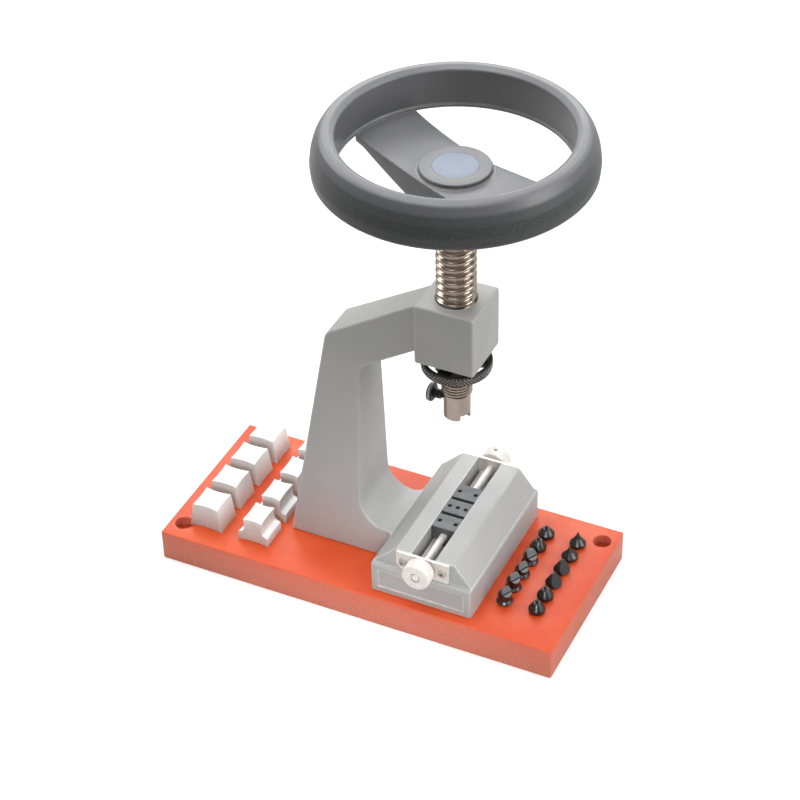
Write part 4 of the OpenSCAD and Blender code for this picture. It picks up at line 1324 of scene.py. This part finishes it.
def spoke_section(x):
    """Section of plate and skirt across the spoke at x, as points (y, z)."""
    part = x / rim_in
    front = 3.6 * part ** 2 - 22.7
    back = 18.2 + (5.7 * part ** 2 if part < 0 else 14 * part)
    share = (rim_in - 8 - abs(x)) / (rim_in - 8 - BOSS_R)
    shallow = PLATE_THICK + 0.9
    skirt_z = plate_z - shallow - (SKIRT_DEPTH - shallow) * max(0.0, min(1.0, share))
    under = plate_z - PLATE_THICK
    rounded = softened([(back, plate_z, 0.9), (front, plate_z, 0.8), (front + 0.3, skirt_z, 0.4),
                        (front + SKIRT_THICK, skirt_z, 0.4), (front + SKIRT_THICK + 0.4, under, 0.4),
                        (back - 0.3, under, 0.8)], steps=3)
    points = []
    for start, end in zip(rounded, rounded[1:] + rounded[:1]):
        parts = PLATE_PARTS if abs(end[0] - start[0]) > 8 else 1
        points += [Vector(start).lerp(end, k / parts) for k in range(parts)]
    return points


def spokes():
    """Both spokes as one loft between the rim's sides."""
    reach = rim_in + 2.4
    rows = []
    for i in range(SPOKE_STATIONS + 1):
        share = 2 * i / SPOKE_STATIONS - 1
        rows.append([(share * math.sqrt(reach ** 2 - y ** 2), y, z)
                     for y, z in spoke_section(share * rim_in)])
    return lofted("spokes", rows)


wheel_parts = [rim(), spokes()]
print("rim and spokes:", sum(len(part.data.polygons) for part in wheel_parts), "faces")


# %% Hub and disc
def hub():
    """Boss, collar and the seat for the disc."""
    seat = cap_low.z - 0.05
    seat_r = cap_r + 0.05
    bore_z = hub_z + 14
    flange_r = HUB_COLLAR_R + 1.2
    corners = [(seat_r, collar_z, 0.3), (HUB_COLLAR_R, collar_z, 0.8), (HUB_COLLAR_R, plate_z + 0.01, 0.7),
               (flange_r, plate_z + 0.01), (flange_r, plate_z - 2), (BOSS_R, plate_z - 2),
               (BOSS_R, hub_z, 0.8), (HUB_BORE_R, hub_z, 0.4), (HUB_BORE_R, bore_z), (BOLT_HEAD_R, bore_z),
               (BOLT_HEAD_R, seat), (seat_r, seat)]
    return turned("hub", softened(corners), loop=True)


wheel = moved(joined("handwheel_casting", [*wheel_parts, hub()]), SPINDLE_AXIS, WHEEL_TURN)
placed(smooth_below(wheel, 30), "wheel_paint", "spindle", "handwheel")

cap_section = [(0, cap_low.z), (cap_r, cap_low.z, 0.2), (cap_r, cap_high.z, 0.25), (0, cap_high.z)]
cap = moved(turned("hub_cap_disc", softened(cap_section, loop=False)), SPINDLE_AXIS)
placed(smooth_below(cap), "cap_disc", "hub_cap", "hub_cap")

# %% [markdown]
# ## The bits
#
# Twelve bits stand in two rows. Each is turned from a bar: a shank that sits in the
# board, a rim above it, and a head that ends in a point, a pin, a wedge or a chisel. A
# wedge or chisel is turned first and then milled: only what a prism of the wanted outline
# holds of it is kept, which leaves the flat facets that catch the light.

# %% Sizes and sections of the bits
SHANK_R = 4
SHANK_LEN = 14
HEAD_R = 5.2
HEAD_LIFT = 0.02
MILL_TURN = turn(-28)
MILL_OUT = 2 * HEAD_R
MILL_LOW = -2 * SHANK_LEN
RIDGE_HALF = 0.3
WEDGE_FALL = math.tan(math.radians(64))
LEDGE_FALL = math.tan(math.radians(46))
BLADE_LEAN = math.tan(math.radians(33))
BLADE_HEIGHT = 3.1
GROOVE = 1
GROOVE_LIP = 0.5
PIN, POINT, WEDGE, CHISEL = "pin", "point", "wedge", "chisel"
BIT_KINDS = (PIN, PIN, CHISEL, CHISEL, CHISEL, CHISEL, POINT, POINT, WEDGE, WEDGE, PIN, PIN)


def bit_section(kind, h):
    """Section of a bit whose head is h high above the board, as points (r, z)."""
    foot = [(0, -SHANK_LEN), (SHANK_R - 0.4, -SHANK_LEN), (SHANK_R, 0.4 - SHANK_LEN), (SHANK_R, HEAD_LIFT),
            (HEAD_R - 0.7, HEAD_LIFT, 0.2), (HEAD_R, 1.2, 0.5)]
    tops = {
        PIN: [(HEAD_R, 3.1, 1.2), (2.6, h - 2.6, 0.6), (2, h - 2.2, 0.2), (1.2, h - 2.2, 0.1),
              (1, h - 0.4, 0.3)],
        POINT: [(HEAD_R, 2.7, 0.6), (2.3, 0.55 * h, 1.5), (0.55, 0.86 * h, 1), (0.3, h - 0.3, 0.1)],
        WEDGE: [(HEAD_R, 3, 0.8), (3.6, 0.62 * h, 2), (1.5, h - 0.6, 0.5)],
        CHISEL: [(HEAD_R, 1.4, 0.3), (3.9, 3, 0.2), (3.8, 3.6, 0.2), (4.3, 4.2, 0.3),
                 (4.3, h - BLADE_HEIGHT, 0.5), (2.8, h - 0.2, 0.2)],
    }
    return softened([*foot, *tops[kind], (0, h)], loop=False)


print("bits:", dict(zip(BITS, BIT_KINDS)))


# %% Bits
def slope(side, h):
    """Points (d, z) of a steep slope from the ridge outwards, on one side."""
    fall = (MILL_OUT - RIDGE_HALF) * WEDGE_FALL
    return [(side * RIDGE_HALF, h + 1), (side * RIDGE_HALF, h), (side * MILL_OUT, h - fall),
            (side * MILL_OUT, MILL_LOW)]


def chisel_front(h):
    """Points of a leaning blade face, a groove below it and a ledge that slopes away."""
    low = h - BLADE_HEIGHT
    root = RIDGE_HALF + BLADE_HEIGHT * BLADE_LEAN
    return [(RIDGE_HALF, h + 1), (RIDGE_HALF, h), (root, low), (root, low - GROOVE),
            (root + GROOVE_LIP, low - GROOVE), (root + GROOVE_LIP, low - GROOVE_LIP * LEDGE_FALL),
            (MILL_OUT, low - (MILL_OUT - root) * LEDGE_FALL), (MILL_OUT, MILL_LOW)]


def milled(obj, profile):
    """Keeps what a prism holds of a bit; its profile is drawn across the ridge."""
    rows = [[(d, along, z) for d, z in profile] for along in (-2.1 * HEAD_R, 2.1 * HEAD_R)]
    return closed(solid_with(obj, [moved(lofted("mill", rows), turned_by=MILL_TURN)], "INTERSECT"))


def bit(node, kind):
    """One bit on its own body."""
    h = box(node)[1].z - board_top
    obj = turned(f"{node}_steel", bit_section(kind, h), 48)
    if kind in (WEDGE, CHISEL):
        front = chisel_front(h) if kind == CHISEL else slope(1, h)
        milled(obj, slope(-1, h)[::-1] + front)
    placed(smooth_below(moved(obj, centre_of(node)), 30), "black_oxide", node, node)


for node, kind in zip(BITS, BIT_KINDS):
    bit(node, kind)

# %% [markdown]
# ## The case supports
#
# The supports are moulded: plain tapered blocks and stepped ones, all four sides drawn
# in between sharp corners, because the plastic sinks as it cools. A loft through a few
# outlines makes them. Each outline is a rectangle with sides that bow inwards, and the
# stepped block's outlines narrow quickly above the step.

# %% Supports
SIDE_POINTS = 8
FACE_BOW = 1.1
END_BOW = 0.55
SUPPORT_EDGE_R = 0.35
PEG_R = 3
PEG_LEN = 6
LARGE_TAPER = Vector((2.7, 0.6))
SMALL_TOP = Vector((4.1, 0.6))
SMALL_STEPS = [(0, 0), (5.8, 0.3), (6.5, 0.6), (6.9, 1.3), (7.2, 2.4), (8.2, 3.9), (10, 4.5), (13, 4.6)]


def bowed_outline(half_x, half_y, z):
    """Rectangle at a height, its sides bowed inwards."""
    points = []
    for side in range(4):
        along, across, bow = (half_x, half_y, FACE_BOW) if side % 2 == 0 else (half_y, half_x, END_BOW)
        for k in range(SIDE_POINTS):
            t = 2 * k / SIDE_POINTS - 1
            point = Vector((along * t, bow * (1 - t * t) - across, z))
            points.append(turn(90 * side) @ point)
    return points


def support(node, insets):
    """Loft through outlines at heights, each drawn in from the base, with a peg below."""
    low, high = box(node)
    half = (high - low).xy / 2
    rows = [bowed_outline(*(half - Vector(inset)), z) for z, inset in insets]
    obj = edged(lofted("form", rows), SUPPORT_EDGE_R, angle=40, segments=3)
    obj = joined(f"{node}_plastic", [obj, bar("peg", -PEG_LEN, 1, PEG_R, 0.4, 32)])
    placed(smooth_below(moved(obj, centre_of(node))), "white_plastic", node, node)


for node in SUPPORTS:
    height = box(node)[1].z - board_top
    if node.startswith("large"):
        insets = [(share * height, share * LARGE_TAPER) for share in (0, 0.5, 1)]
    else:
        insets = [(z, (inward, 0.3 + 0.02 * z)) for z, inward in SMALL_STEPS] + [(height, SMALL_TOP)]
    support(node, insets)

# %% [markdown]
# ## What stays as imported
#
# The nut, the frame screws, and the washer and bolt inside the hub are plain machined
# parts whose imported shape is right. They keep it and get their metal.

# %% Nodes that keep their shape
KEPT = {"spindle_nut": "bronze", "frame_screws": "zinc_steel", "hub_washer": "zinc_steel",
        "wheel_bolt": "zinc_steel"}
for node, slot in KEPT.items():
    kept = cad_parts[node]
    kept.data.materials.clear()
    kept.data.materials.append(finishes[slot])
print("kept:", sorted(KEPT))
